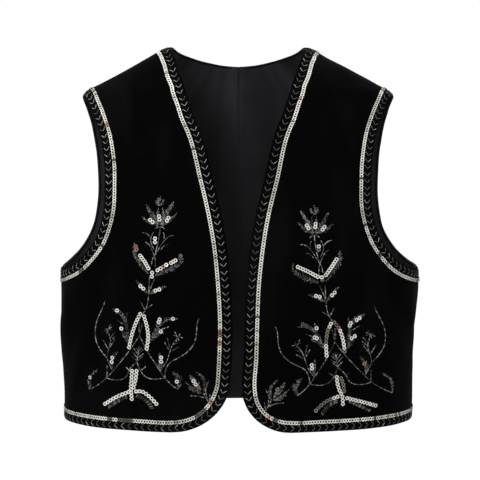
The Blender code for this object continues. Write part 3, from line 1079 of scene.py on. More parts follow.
@dataclass
class Model:
    """One small thing, modelled once and copied many times."""

    points: Array
    faces: list[tuple[int, ...]]

    @classmethod
    def taken(cls, piece: bpy.types.Object) -> Model:
        """Takes the shape of an object and removes the object.

        Args:
            piece: The object.

        Returns:
            The model.
        """
        points = np.array([tuple(v.co) for v in piece.data.vertices])
        # Blender numbers what it extrudes in another order each run, so points and faces are sorted
        order = np.lexsort(points.T)
        ranks = np.argsort(order)
        faces = [ranks[list(face.vertices)] for face in piece.data.polygons]
        bpy.data.meshes.remove(piece.data)
        return cls(points[order], sorted(tuple(np.roll(face, -np.argmin(face)).tolist()) for face in faces))

    @classmethod
    def sequin(cls, radius: float, hole: float, thickness: float) -> Model:
        """Models a sequin: a thin disc, slightly cupped, with a hole for the thread.

        Args:
            radius: The disc's radius.
            hole: The hole's radius.
            thickness: The disc's thickness.

        Returns:
            The sequin, facing +Z.
        """
        deselect()
        bpy.ops.mesh.primitive_circle_add(vertices=SEQUIN_SIDES, radius=radius, fill_type="NGON")
        piece = bpy.context.object
        bpy.ops.object.mode_set(mode="EDIT")
        bpy.ops.mesh.inset(thickness=(radius - hole) * math.cos(math.pi / SEQUIN_SIDES), depth=-thickness * 1.2)
        bpy.ops.mesh.delete(type="FACE")
        bpy.ops.object.mode_set(mode="OBJECT")
        add_modifier(piece, "SOLIDIFY", thickness=thickness, offset=0.0)
        return cls.taken(piece)

    @classmethod
    def stitch(cls, sides: int) -> Model:
        """Models a stitch of length and width 1, tapered at both ends.

        Args:
            sides: Its sides.

        Returns:
            The stitch, along +X and centred.
        """
        deselect()
        bpy.ops.mesh.primitive_cylinder_add(vertices=sides, radius=0.5, depth=0.6, rotation=(0, math.pi / 2, 0))
        piece = bpy.context.object
        bpy.ops.object.transform_apply(location=True, rotation=True, scale=True)
        bpy.ops.object.mode_set(mode="EDIT")
        for end in (-1, 1):
            bpy.ops.mesh.select_mode(type="FACE")
            bpy.ops.mesh.select_all(action="DESELECT")
            bpy.ops.object.mode_set(mode="OBJECT")
            for face in piece.data.polygons:
                face.select = face.normal.x * end > 0.9
            bpy.ops.object.mode_set(mode="EDIT")
            bpy.ops.mesh.extrude_region_move(TRANSFORM_OT_translate={"value": (0.2 * end, 0, 0)})
            bpy.ops.transform.resize(value=(1, 0.45, 0.45), center_override=(0.5 * end, 0, 0))
        bpy.ops.object.mode_set(mode="OBJECT")
        return cls.taken(piece)

    def copies(self, frames: Array) -> tuple[Array, list[tuple[int, ...]]]:
        """Copies the model once for each frame.

        Args:
            frames: For each copy, three axes and an origin, as rows of a 4 by 3 array.

        Returns:
            The points and faces of all of them.
        """
        points = np.einsum("pk,nkc->npc", self.points, frames[:, :3]) + frames[:, None, 3]
        size = len(self.points)
        faces = [tuple(i + size * n for i in face) for n in range(len(frames)) for face in self.faces]
        return points.reshape(-1, 3), faces


def laid(starts: Array, ends: Array, outs: Array, width: float) -> Array:
    """Finds the frames of stitches between points.

    Args:
        starts: Where each stitch starts.
        ends: Where each ends.
        outs: The cloth's outward directions.
        width: The thread's width.

    Returns:
        The stitches' axes, scaled to their size, and origins, as rows of a 4 by 3 array.
    """
    run = ends - starts
    across = unit(np.cross(outs, run))
    return np.stack([run, across * width, outs * width * 0.8, (starts + ends) / 2], axis=1)


class Rail(Line):
    """A line on the cloth that stitches and sequins follow."""

    def __init__(self, cloth: Cloth, places: Array, side: Side) -> None:
        """Lays the line on the cloth of a side."""
        super().__init__(places, cloth.seat(places, side)[0])
        self.cloth, self.side = cloth, side

    def frames(self, distances: Array, lift: float) -> Array:
        """Finds the direction along, across and out of the cloth, and the point there.

        Args:
            distances: Distances along the line.
            lift: How far above the velvet the points lie.

        Returns:
            Three axes and an origin for each distance, as rows of a 4 by 3 array.
        """
        places = self.at(distances)
        points = self.cloth.seat(places, self.side)[0]
        outs = self.cloth.normals(places, self.side)
        ahead = self.cloth.seat(self.at(np.minimum(distances + LINE_REACH, self.length)), self.side)[0]
        behind = self.cloth.seat(self.at(np.maximum(distances - LINE_REACH, 0.0)), self.side)[0]
        along = unit(ahead - behind)
        across = unit(np.cross(outs, along))
        return np.stack([along, across, np.cross(along, across), points + outs * lift], axis=1)

    def spaced(self, pitch: float) -> Array:
        """Distances at an even pitch, half a pitch from each end."""
        count = max(1, round(self.length / pitch))
        return (np.arange(count) + 0.5) * self.length / count


def inset_places(form: Form, curve: Curve, inward_sign: int, distance: float) -> tuple[Array, Array]:
    """Walks from an edge into the cloth.

    Args:
        form: The form.
        curve: The edge.
        inward_sign: 1 or -1, for the side of the edge that the cloth lies on.
        distance: How far to walk, which is a little less along the hem.

    Returns:
        The places reached, and their points on the form.
    """
    places = curve.at(np.linspace(0, curve.length, int(curve.length / WALK_PITCH) + 1))
    near_hem = np.clip((HEM_NEAR - places[:, 1]) / HEM_EASE, 0, 1)[:, None]
    step = (1 - (1 - HEM_INSET_SHARE) * near_hem) * distance / WALK_STEPS
    points = form.points(places)
    along = np.gradient(points, axis=0)
    inward = unit(np.cross(along, form.outward(places))) * inward_sign
    for _ in range(WALK_STEPS):
        outs = form.outward(form.places_of(points))
        inward = unit(inward - outs * (inward * outs).sum(1)[:, None])
        points = form.points(form.places_of(points + inward * step))
    return form.places_of(points), points


# ---- Cloth ----


@dataclass
class Panel:
    """One cut piece of cloth, as a thin shell on its solid's form."""

    name: str
    cloth: Cloth
    outline: Array
    side: Side
    wall: float
    depth_in: float = 0.0
    pleated: bool = False
    rows: tuple[float, ...] = ()
    fill_step: float = 0.0042
    # Spots keep this share of a step clear of the outline
    clear_share: float = 0.45
    rim: float = 0.0007

    def flat(self, places: Array) -> Array:
        """Places laid flat, where distances are about those on the cloth."""
        above = np.maximum(places[:, 1] - SLOPE_FROM, 0.0)
        return np.stack([places[:, 0] * FLAT_RADIUS, places[:, 1] + (SLOPE_STRETCH - 1) * above], axis=1)

    def unflat(self, spots: Array) -> Array:
        """The places of spots that are laid flat."""
        above = np.maximum(spots[:, 1] - SLOPE_FROM, 0.0)
        return np.stack([spots[:, 0] / FLAT_RADIUS, spots[:, 1] - above * (1 - 1 / SLOPE_STRETCH)], axis=1)

    def filling(self) -> Array:
        """Finds flat spots inside the outline, in staggered rows.

        Returns:
            Rows of flat x and y.
        """
        border = self.flat(self.outline)
        low, high = border.min(axis=0), border.max(axis=0)
        reach = max(self.rows, default=0.0) + self.fill_step / 2
        spots = []
        for row, up in enumerate(np.arange(low[1], high[1], self.fill_step * math.sqrt(3) / 2)):
            across = np.arange(low[0] - self.fill_step * 0.5 * (row % 2), high[0], self.fill_step)
            if self.rows:
                across = across[np.abs(across - BACK_MIDDLE) > reach]
                across = np.concatenate([across, BACK_MIDDLE + np.array(self.rows)])
            spots.append(np.stack([across, np.full(len(across), up)], axis=1))
        return self.kept_inside(np.concatenate(spots), border)

    def kept_inside(self, spots: Array, border: Array) -> Array:
        """Keeps the spots that lie inside a border, clear of it.

        Args:
            spots: Rows of flat x and y.
            border: The border's flat points.

        Returns:
            The spots kept.
        """
        ends = np.roll(border, -1, axis=0)
        runs = ends - border
        nearest, crossings = np.full(len(spots), np.inf), np.zeros(len(spots), int)
        for start, end, run in zip(border, ends, runs):
            share = np.clip((spots - start) @ run / (run @ run), 0, 1)
            nearest = np.minimum(nearest, np.linalg.norm(start + share[:, None] * run - spots, axis=1))
            if start[1] != end[1]:
                spans = (start[1] > spots[:, 1]) != (end[1] > spots[:, 1])
                crossings += spans & (start[0] + run[0] * (spots[:, 1] - start[1]) / run[1] > spots[:, 0])
        return spots[(nearest > self.clear_share * self.fill_step) & (crossings % 2 == 1)]

    def pleat(self, points: Array) -> Array:
        """How far the back lining stands in, for the pleat down its middle.

        Args:
            points: Points of the velvet's face.

        Returns:
            The distance at each point.
        """
        fold = np.interp(points[:, 2], *zip(*PLEAT)) * np.exp(-((points[:, 0] / PLEAT_HALF_WIDTH) ** 2))
        line = LINE_DEPTH_SHARE * np.interp(points[:, 2], *zip(*PLEAT_LINE))
        beside = (points[:, 0] - PLEAT_LINE_HALF_WIDTH) / PLEAT_LINE_HALF_WIDTH
        return np.where(points[:, 1] > 0, fold - line * np.exp(-(beside**2)), 0.0)

    def build(self, outer: bpy.types.Material, inner: bpy.types.Material) -> bpy.types.Object:
        """Cuts the piece and gives it its thickness.

        Args:
            outer: The finish of its outer face and edges.
            inner: The finish of its inner face.

        Returns:
            The piece.
        """
        spots = np.concatenate([self.flat(self.outline), self.filling()])
        loop = tuple(range(len(self.outline)))
        _, _, faces, sources, _, _ = delaunay_2d_cdt([Vector(s) for s in spots], [], [loop], 1, 1e-7)
        faces = [tuple(sources[corner][0] for corner in face) for face in faces]
        points, outs = self.cloth.seat(self.unflat(spots), self.side)
        depth = self.depth_in + (self.pleat(points) if self.pleated else 0.0)
        points = points - outs * np.broadcast_to(depth, len(points))[:, None]
        a, b, c = (points[i] for i in faces[0][:3])
        if np.cross(b - a, c - a) @ outs[faces[0][0]] < 0:
            faces = [face[::-1] for face in faces]
        piece = new_piece(self.name, points, faces, outer, inner)
        cut = piece.data.uv_layers.new(name="cut")
        corners = np.array([loop.vertex_index for loop in piece.data.loops])
        cut.data.foreach_set("uv", spots[corners].astype(np.float32).ravel())
        add_modifier(piece, "SOLIDIFY", thickness=self.wall, offset=-1.0, material_offset=1, use_rim=True)
        if self.rim:
            add_modifier(piece, "BEVEL", width=self.rim, segments=2, limit_method="ANGLE", angle_limit=math.radians(60))
        return piece


@dataclass
class Shell:
    """The cloth of the vest: two velvet fronts, the velvet back and its satin lining."""

    cloth: Cloth
    pattern: Pattern
    finishes: Finishes
    front_wall: float = 0.0024
    back_wall: float = 0.0016
    lining_wall: float = 0.0010
    gap: float = 0.0003
    seam: float = 0.00008
    edge_step: float = 0.0030
    front_cut: tuple[float, float] = (0.25, 0.44)
    back_cut: tuple[float, float] = (0.49, 0.46)
    turned_width: float = 0.0016
    seam_depth: float = 0.0027

    def build(self) -> list[bpy.types.Object]:
        """Builds the cut pieces and states their cut.

        Returns:
            The pieces.
        """
        velvet, satin = self.finishes.velvet, self.finishes.satin
        made = []
        for side in Side:
            outline = self.pattern.front_outline(side, self.seam, self.edge_step)
            panel = Panel(f"velvet_front_{side.word}", self.cloth, outline, side, self.front_wall)
            made.append(settle(panel.build(velvet, satin), "black_velvet", f"front_{side.word}"))
        outline = self.pattern.back_outline(self.seam, self.edge_step)
        back = Panel("velvet_back", self.cloth, outline, Side.LEFT, self.back_wall, rows=PLEAT_ROWS)
        made.append(settle(back.build(velvet, velvet), "black_velvet", "back"))
        inside = self.back_wall + self.gap
        lining = Panel(
            "satin_back_lining", self.cloth, outline, Side.LEFT, self.lining_wall, inside, True, PLEAT_ROWS, rim=0.0003
        )
        made.append(settle(lining.build(satin, satin), "charcoal_satin", "back_lining"))
        return [*made, *self.turned_edges(), *self.seams()]

    def turned_edges(self) -> list[bpy.types.Object]:
        """Builds the velvet's narrow turned edge round the inside of the back.

        Returns:
            The pieces.
        """
        lines = [("neck", self.pattern.back_neck_line(), 1, Side.LEFT)]
        lines += [(f"armhole_{side.word}", self.pattern.armhole_line(False), -1, side) for side in Side]
        depth = self.back_wall + self.gap + self.lining_wall
        made = []
        for name, curve, inward, side in lines:
            places, points = inset_places(self.cloth.form, curve, inward, self.turned_width / 2)
            kept = np.flatnonzero(self.pattern.in_front(points) < -self.turned_width)
            rail = Rail(self.cloth, places[kept[0] : kept[-1] + 1], side)
            made.append(self.cord(f"turned_edge_{name}", rail, depth, self.finishes.velvet, "black_velvet"))
        return made

    def seams(self) -> list[bpy.types.Object]:
        """Builds the felled edges of the side and shoulder seams inside, which close them.

        Returns:
            The pieces.
        """
        sides = ((QUARTER, UNDERARM_HEIGHT), (QUARTER, HEM_SIDE))
        made = []
        for side in Side:
            for name, places in (("side", sides), ("shoulder", self.pattern.shoulder())):
                rail = Rail(self.cloth, Curve(self.cloth.form, places).cut(CORD_STEP), side)
                name = f"seam_{name}_{side.word}"
                made.append(self.cord(name, rail, self.seam_depth, self.finishes.satin, "charcoal_satin"))
        return made

    def cord(self, name: str, rail: Rail, depth: float, finish: bpy.types.Material, slot: str) -> bpy.types.Object:
        """Lays a narrow round edge along a line inside the vest.

        Args:
            name: The piece's name.
            rail: The line.
            depth: How far it lies behind the velvet's face.
            finish: Its finish.
            slot: The record's material slot.

        Returns:
            The piece.
        """
        spots = rail.frames(rail.spaced(CORD_STEP), -depth)[:, 3]
        line = bpy.data.curves.new(name, "CURVE")
        line.dimensions, line.bevel_resolution, line.use_fill_caps = "3D", 1, True
        line.bevel_depth = self.turned_width / 2
        spline = line.splines.new("POLY")
        spline.points.add(len(spots) - 1)
        spline.points.foreach_set("co", np.concatenate([spots, np.ones((len(spots), 1))], axis=1).ravel())
        line.materials.append(finish)
        holder = bpy.data.objects.new(line.name, line)
        bpy.context.scene.collection.objects.link(holder)
        make_active(holder)
        bpy.ops.object.convert(target="MESH")
        return settle(bpy.context.object, slot, angle=60.0)


# ---- Borders ----


# Stretches of the strings in set tones, copper and duller, the duller ones painted shade of sequins tilted away from
# the light: start and end along the string, and the sequins' tone there
TONED_STRETCHES = {
    "sequins_front_edge_right": (
        (0.326, 0.330, 0.03),
        (0.3325, 0.3355, 0.05),
        (0.338, 0.346, 0.03),
        (0.350, 0.404, 0.66),
        (0.405, 0.412, 0.06),
        (0.419, 0.434, 0.34),
        (0.503, 0.521, 0.30),
        (0.527, 0.535, 0.32),
    ),
    "sequins_front_edge_left": (
        (0.100, 0.200, 0.72),
        (0.400, 0.425, 0.68),
        (0.427, 0.431, 0.03),
        (0.434, 0.439, 0.34),
        (0.580, 0.584, 0.34),
    ),
    "sequins_front_armhole_right": (
        (-0.010, 0.004, 0.36),
        (0.050, 0.054, 0.06),
        (0.189, 0.192, 0.34),
        (0.227, 0.236, 0.34),
    ),
    "sequins_front_armhole_left": ((0.010, 0.060, 0.70), (0.200, 0.206, 0.34)),
}


@dataclass(frozen=True)
class BorderLine:
    """One stretch of border: its solid, its edge, and which stretch of the edge it keeps."""

    node: str
    curve: Curve
    inward: int
    inset: float
    front: bool
    side: Side


@dataclass
class Borders:
    """Strings of sequins and rows of chevron stitches along every edge."""

    cloth: Cloth
    pattern: Pattern
    finishes: Finishes
    sequin: Model
    stitch: Model
    edge_inset: float = 0.0138
    armhole_inset: float = 0.0130
    sequin_pitch: float = 0.00305
    sequin_lift: float = 0.00075
    sequin_tilt: float = 0.15
    # A sequin is painted darker about its hole, partly for the thread there and partly as painted shade: tones, and the
    # tones about the hole that go with them
    middle_radius: float = 0.0012
    middles: tuple[tuple[float, float], ...] = ((0.0, 0.12), (0.12, 0.20), (0.34, 0.27), (0.6, 0.33), (1.0, 0.49))
    chevron_inset_share: float = 0.44
    chevron_pitch: float = 0.0077
    chevron_half_width: float = 0.0036
    chevron_reach: float = 0.0038
    chevron_gap: float = 0.0003
    thread_width: float = 0.00076
    pale_lift: float = 0.0003
    dark_lift: float = 0.0002
    # The chevrons have fewer silver stitches along the hem and high on the left half
    faint_below: float = -0.395
    faint_above: float = -0.28
    silver_share: float = 0.6
    faint_share: float = 0.12
    chevron_stray: float = 0.00025
    # A string's tones: the whitest, their spread, how far waves of these lengths dull them, then how
    # rare a single duller one, dull one and copper one is
    whitest: float = 0.96
    spread: float = 0.05
    dulling: float = 0.13
    wave_lengths: tuple[float, ...] = (0.19, 0.11, 0.07)
    duller_share: float = 0.12
    dull_share: float = 0.03
    copper_share: float = 0.004
    seed: int = 7

    def lines(self) -> list[BorderLine]:
        """Lists the stretches of border, one for each string of sequins.

        Returns:
            The stretches, in the order in which they are sewn.
        """
        pattern, edge, arm = self.pattern, self.edge_inset, self.armhole_inset
        made = []
        for side in Side:
            word = side.word
            made.append(BorderLine(f"sequins_front_edge_{word}", pattern.edge_line(side), -1, edge, True, side))
            front, back = pattern.armhole_line(True), pattern.armhole_line(False)
            made.append(BorderLine(f"sequins_front_armhole_{word}", front, 1, arm, True, side))
            made.append(BorderLine(f"sequins_back_armhole_{word}", back, -1, arm, False, side))
        made.append(BorderLine("sequins_back_neck", pattern.back_neck_line(), 1, edge, False, Side.LEFT))
        made.append(BorderLine("sequins_back_hem", pattern.back_hem_line(), -1, edge, False, Side.LEFT))
        return made

    def rail(self, line: BorderLine, inset: float) -> Rail:
        """Finds the line that runs inside an edge, on one side of the seams.

        Args:
            line: The stretch of border.
            inset: How far inside the edge it runs.

        Returns:
            The line.
        """
        places, points = inset_places(self.cloth.form, line.curve, line.inward, inset)
        before = self.pattern.in_front(points)
        kept = np.flatnonzero(before > 0 if line.front else before < 0)
        return Rail(self.cloth, places[kept[0] : kept[-1] + 1], line.side)

    def tones(self, rng: np.random.Generator, count: int, distances: Array, node: str) -> Array:
        """Picks a tone for each sequin of a string: mostly white, with duller stretches.

        Args:
            rng: The random numbers.
            count: How many sequins.
            distances: How far along the string they are.
            node: The string's solid.

        Returns:
            A tone from 0, copper, to 1, white, for each.
        """
        wave = np.zeros(count)
        for period in self.wave_lengths:
            wave += np.sin(distances * 2 * math.pi / period + rng.uniform(0, 2 * math.pi))
        tones = self.whitest + rng.normal(0, self.spread, count) - self.dulling * np.clip(wave, 0, 2)
        drawn = rng.uniform(size=count)
        tones[drawn < self.duller_share] -= 0.25
        tones[drawn < self.dull_share] = 0.32
        tones[drawn < self.copper_share] = 0.04
        for first, last, tone in TONED_STRETCHES.get(node, ()):
            inside = (distances > first) & (distances < last)
            tones[inside] = tone + rng.normal(0, 0.04, count)[inside]
        return np.clip(tones, 0.0, 1.0)

    def tilted(self, frames: Array, rng: np.random.Generator) -> Array:
        """Tilts each sequin on to the one before it, a little unevenly.

        Args:
            frames: The sequins' axes and origins.
            rng: The random numbers.

        Returns:
            The turned axes and origins.
        """
        made = frames.copy()
        turn = -self.sequin_tilt + rng.normal(0, 0.05, len(frames))
        roll = rng.normal(0, 0.07, len(frames))
        along, across, out = frames[:, 0], frames[:, 1], frames[:, 2]
        made[:, 0] = unit(along + out * turn[:, None])
        made[:, 1] = unit(across + out * roll[:, None])
        made[:, 2] = unit(np.cross(made[:, 0], made[:, 1]))
        made[:, 1] = np.cross(made[:, 2], made[:, 0])
        return made

    def string(self, name: str, frames: Array, tones: Array, *nodes: str) -> bpy.types.Object:
        """Makes one piece of sequins.

        Args:
            name: The piece's name.
            frames: Their axes and origins.
            tones: Their tones.
            nodes: The solids that the piece stands for.

        Returns:
            The piece.
        """
        points, faces = self.sequin.copies(frames)
        piece = new_piece(name, points, faces, self.finishes.sequins)
        layer = piece.data.attributes.new("tone", "FLOAT", "POINT")
        # Points about the hole take the darker tone: partly the thread, partly painted shade
        middle = np.linalg.norm(self.sequin.points[:, :2], axis=1) < self.middle_radius
        about_hole = np.interp(tones, *zip(*self.middles))
        values = np.where(middle, about_hole[:, None], tones[:, None])
        layer.data.foreach_set("value", values.ravel().astype(np.float32))
        return settle(piece, "silver_sequins", *nodes, angle=35.0)

    def arms(self, rail: Rail, distances: Array, lift: float) -> Array:
        """Finds the frames of both arms of each chevron.

        Args:
            rail: The row's line.
            distances: Where the chevrons are.
            lift: How far the thread lies above the velvet.

        Returns:
            The arms' axes, scaled to their size, and origins.
        """
        frames = rail.frames(distances, lift)
        made = []
        for hand in (-1, 1):
            half, aside = frames[:, 0] * self.chevron_reach / 2, frames[:, 1] * hand
            tip = frames[:, 3] + half + aside * self.chevron_gap
            foot = frames[:, 3] - half + aside * self.chevron_half_width
            made.append(laid(tip, foot, frames[:, 2], self.thread_width))
        return np.concatenate(made)

    def build(self) -> list[bpy.types.Object]:
        """Builds every border.

        Returns:
            The pieces.
        """
        rng = np.random.default_rng(self.seed)
        made = []
        for line in self.lines():
            rail = self.rail(line, line.inset)
            stations = rail.spaced(self.sequin_pitch)
            frames = self.tilted(rail.frames(stations, self.sequin_lift), rng)
            name = line.node.replace("sequins_", "sequin_string_")
            made.append(self.string(name, frames, self.tones(rng, len(frames), stations, line.node), line.node))
            rail = self.rail(line, line.inset * self.chevron_inset_share)
            stations = rail.spaced(self.chevron_pitch)
            half = rail.length / len(stations) / 2
            pale = self.arms(rail, stations + rng.normal(0, self.chevron_stray, len(stations)), self.pale_lift)
            dark = self.arms(rail, stations - half * 0.98, self.dark_lift)
            points, faces = self.stitch.copies(np.concatenate([pale, dark]))
            name = line.node.replace("sequins_", "chevrons_")
            piece = new_piece(name, points, faces, self.finishes.silver, self.finishes.grey, self.finishes.black)
            spot = pale[:, 3]
            faint = (spot[:, 2] < self.faint_below) | ((spot[:, 2] > self.faint_above) & (line.side is Side.LEFT))
            grey = rng.uniform(size=len(pale)) > np.where(faint, self.faint_share, self.silver_share)
            slots = np.concatenate([grey.astype(np.int32), np.full(len(dark), 2, np.int32)])
            piece.data.polygons.foreach_set("material_index", np.repeat(slots, len(self.stitch.faces)))
            made.append(settle(piece, "silver_sequins"))
        return made


# ---- Folk motif ----

# The motif is drawn on a sheet square to the line of sight and laid on the cloth along it
EYE, EYE_TILT = (0.0023, -2.2, -0.065), 3.99
SHEET_AWAY, MOTIF_UNIT = 2.1, 0.001085


# Points of the motif, as distances towards the centre front and up
Path = tuple[tuple[float, float], ...]


class Tone(Enum):
    """How bright a leaf or stem is: the shares of silver and of grey thread in it."""

    SILVER = (0.62, 0.28)
    GREY = (0.30, 0.38)
    DARK = (0.05, 0.35)


@dataclass(frozen=True)
class Fit:
    """How the motif sits on a front, on its sheet."""

    root: tuple[float, float]
    outer_stretch: float
    rise: float
    slant: float


FITS = {
    Side.RIGHT: Fit((-0.1144, -0.1725), 1.0, 1.0, 0.0),
    Side.LEFT: Fit((0.1085, -0.1779), 1.16, 0.985, -0.04),
}


@dataclass(frozen=True)
class Stem:
    """A line of stem stitch through points of the motif."""

    path: Path
    width: float = 1.0
    tone: Tone = Tone.GREY


@dataclass(frozen=True)
class Leaf:
    """A leaf of slanting stitches along points of the motif, from its base to its tip."""

    path: Path
    half_width: float
    tone: Tone = Tone.GREY
    lobes: int = 0


@dataclass(frozen=True)
class Hatch:
    """A band of short cross stitches along points of the motif."""

    path: Path
    half_width: float


@dataclass(frozen=True)
class SequinRow:
    """Sequins sewn side by side through points of the motif, some of them copper or dull."""

    path: Path
    count: int
    copper: tuple[int, ...] = ()
    dull: tuple[int, ...] = ()


ROWS = {
    Side.RIGHT: (
        SequinRow(((-2.0, 28.3), (-2.7, 19.3), (-3.1, 12.7), (-2.5, 0.3)), 10),
        SequinRow(((2.4, 28.3), (1.7, 21.2), (-0.6, 11.7)), 6),
        SequinRow(((-29.1, -4.7), (-18.5, 1.8), (-5.5, 7.3)), 9),
        SequinRow(((1.9, 7.8), (7.0, 7.9), (13.9, 3.7), (22.1, -4.7)), 8),
        SequinRow(((5.8, 85.1), (1.3, 75.9), (-2.3, 65.0), (-5.1, 51.8)), 12),
        SequinRow(((9.5, 82.7), (12.4, 73.3), (13.9, 62.4), (12.4, 50.5)), 11),
        SequinRow(((5.9, 143.4), (10.3, 137.5), (14.2, 130.7)), 7),
        SequinRow(((23.2, 128.9), (27.6, 131.4), (31.9, 134.2)), 4, (2,)),
        SequinRow(((36.7, 136.1), (41.0, 138.6)), 3),
        SequinRow(((1.8, 152.4), (2.3, 149.6)), 2, (0, 1)),
        SequinRow(((46.2, 143.1), (45.7, 140.7)), 2, (), (0, 1)),
        SequinRow(((17.9, 126.4), (17.6, 122.6)), 2),
        SequinRow(((20.8, 160.5), (20.7, 156.8)), 2),
        SequinRow(((16.0, 178.9), (18.5, 176.8)), 2),
        SequinRow(((24.8, 182.6), (25.1, 179.3)), 2),
        SequinRow(((34.0, 181.1), (32.5, 178.2)), 2),
        SequinRow(((6.1, 112.9), (9.0, 110.5)), 2),
        SequinRow(((21.2, 108.6), (24.9, 109.6)), 2),
        SequinRow(((-17.0, 88.6),), 1),
        SequinRow(((-13.0, 70.6),), 1),
        SequinRow(((38.5, 80.3),), 1),
        SequinRow(((26.4, 67.6),), 1),
        SequinRow(((-44.1, 21.8),), 1),
        SequinRow(((42.4, 17.5),), 1),
        SequinRow(((25.4, 79.6), (24.3, 76.9)), 2),
        SequinRow(((-21.5, 41.5), (-22.0, 37.3)), 2),
        SequinRow(((26.7, 41.5), (26.7, 37.3)), 2),
        SequinRow(((59.1, 18.1), (61.5, 14.5), (63.9, 11.7)), 3, (2,)),
    ),
    Side.LEFT: (
        SequinRow(((3.7, 27.7), (3.1, 21.8), (0.9, 14.3), (-1.9, 6.8), (-2.2, 0.1)), 9),
        SequinRow(((-0.5, 26.5), (-2.5, 19.7), (-3.2, 12.9)), 5, (), (0, 1, 2, 3, 4)),
        SequinRow(((2.8, 7.6), (13.4, 3.7), (19.1, -0.4), (24.3, -5.7)), 8, (), (2, 3, 4, 5, 6, 7)),
        SequinRow(((-5.7, 6.0), (-18.3, 1.7), (-30.3, -2.7)), 11),
        SequinRow(((9.4, 81.9), (12.5, 75.0), (14.2, 64.0), (13.6, 49.7)), 11, (3,), (2, 4, 5, 6)),
        SequinRow(((6.0, 83.1), (1.2, 76.8), (-2.1, 66.4), (-3.8, 53.2)), 10, (2,), (0, 1, 9)),
        SequinRow(((42.4, 140.9), (33.0, 136.2), (22.2, 130.0)), 9),
        SequinRow(((3.7, 147.0), (8.8, 139.1), (14.2, 131.5)), 8),
        SequinRow(((17.8, 126.7), (18.3, 129.4)), 2, (), (0,)),
        SequinRow(((21.4, 160.8), (21.4, 157.4)), 2, (), (1,)),
        SequinRow(((33.3, 182.5), (31.7, 179.7)), 2),
        SequinRow(((24.6, 183.7), (25.0, 180.6)), 2),
        SequinRow(((15.9, 180.3), (17.8, 177.8)), 2),
        SequinRow(((24.3, 110.8), (20.6, 109.6)), 2),
        SequinRow(((8.2, 110.8), (5.5, 113.3)), 2),
        SequinRow(((25.8, 68.8), (23.4, 67.9)), 2),
        SequinRow(((23.7, 78.0),), 1),
        SequinRow(((37.6, 82.8), (34.2, 81.1)), 2, (), (0, 1)),
        SequinRow(((-9.1, 81.7), (-8.2, 79.3)), 2),
        SequinRow(((-14.3, 84.7), (-16.8, 86.7)), 2),
        SequinRow(((-9.7, 66.4), (-12.5, 68.4)), 2),
        SequinRow(((28.5, 40.9), (28.3, 37.3)), 2),
        SequinRow(((-20.6, 40.3),), 1, (0,)),
        SequinRow(((62.7, 17.4),), 1, (), (0,)),
    ),
}
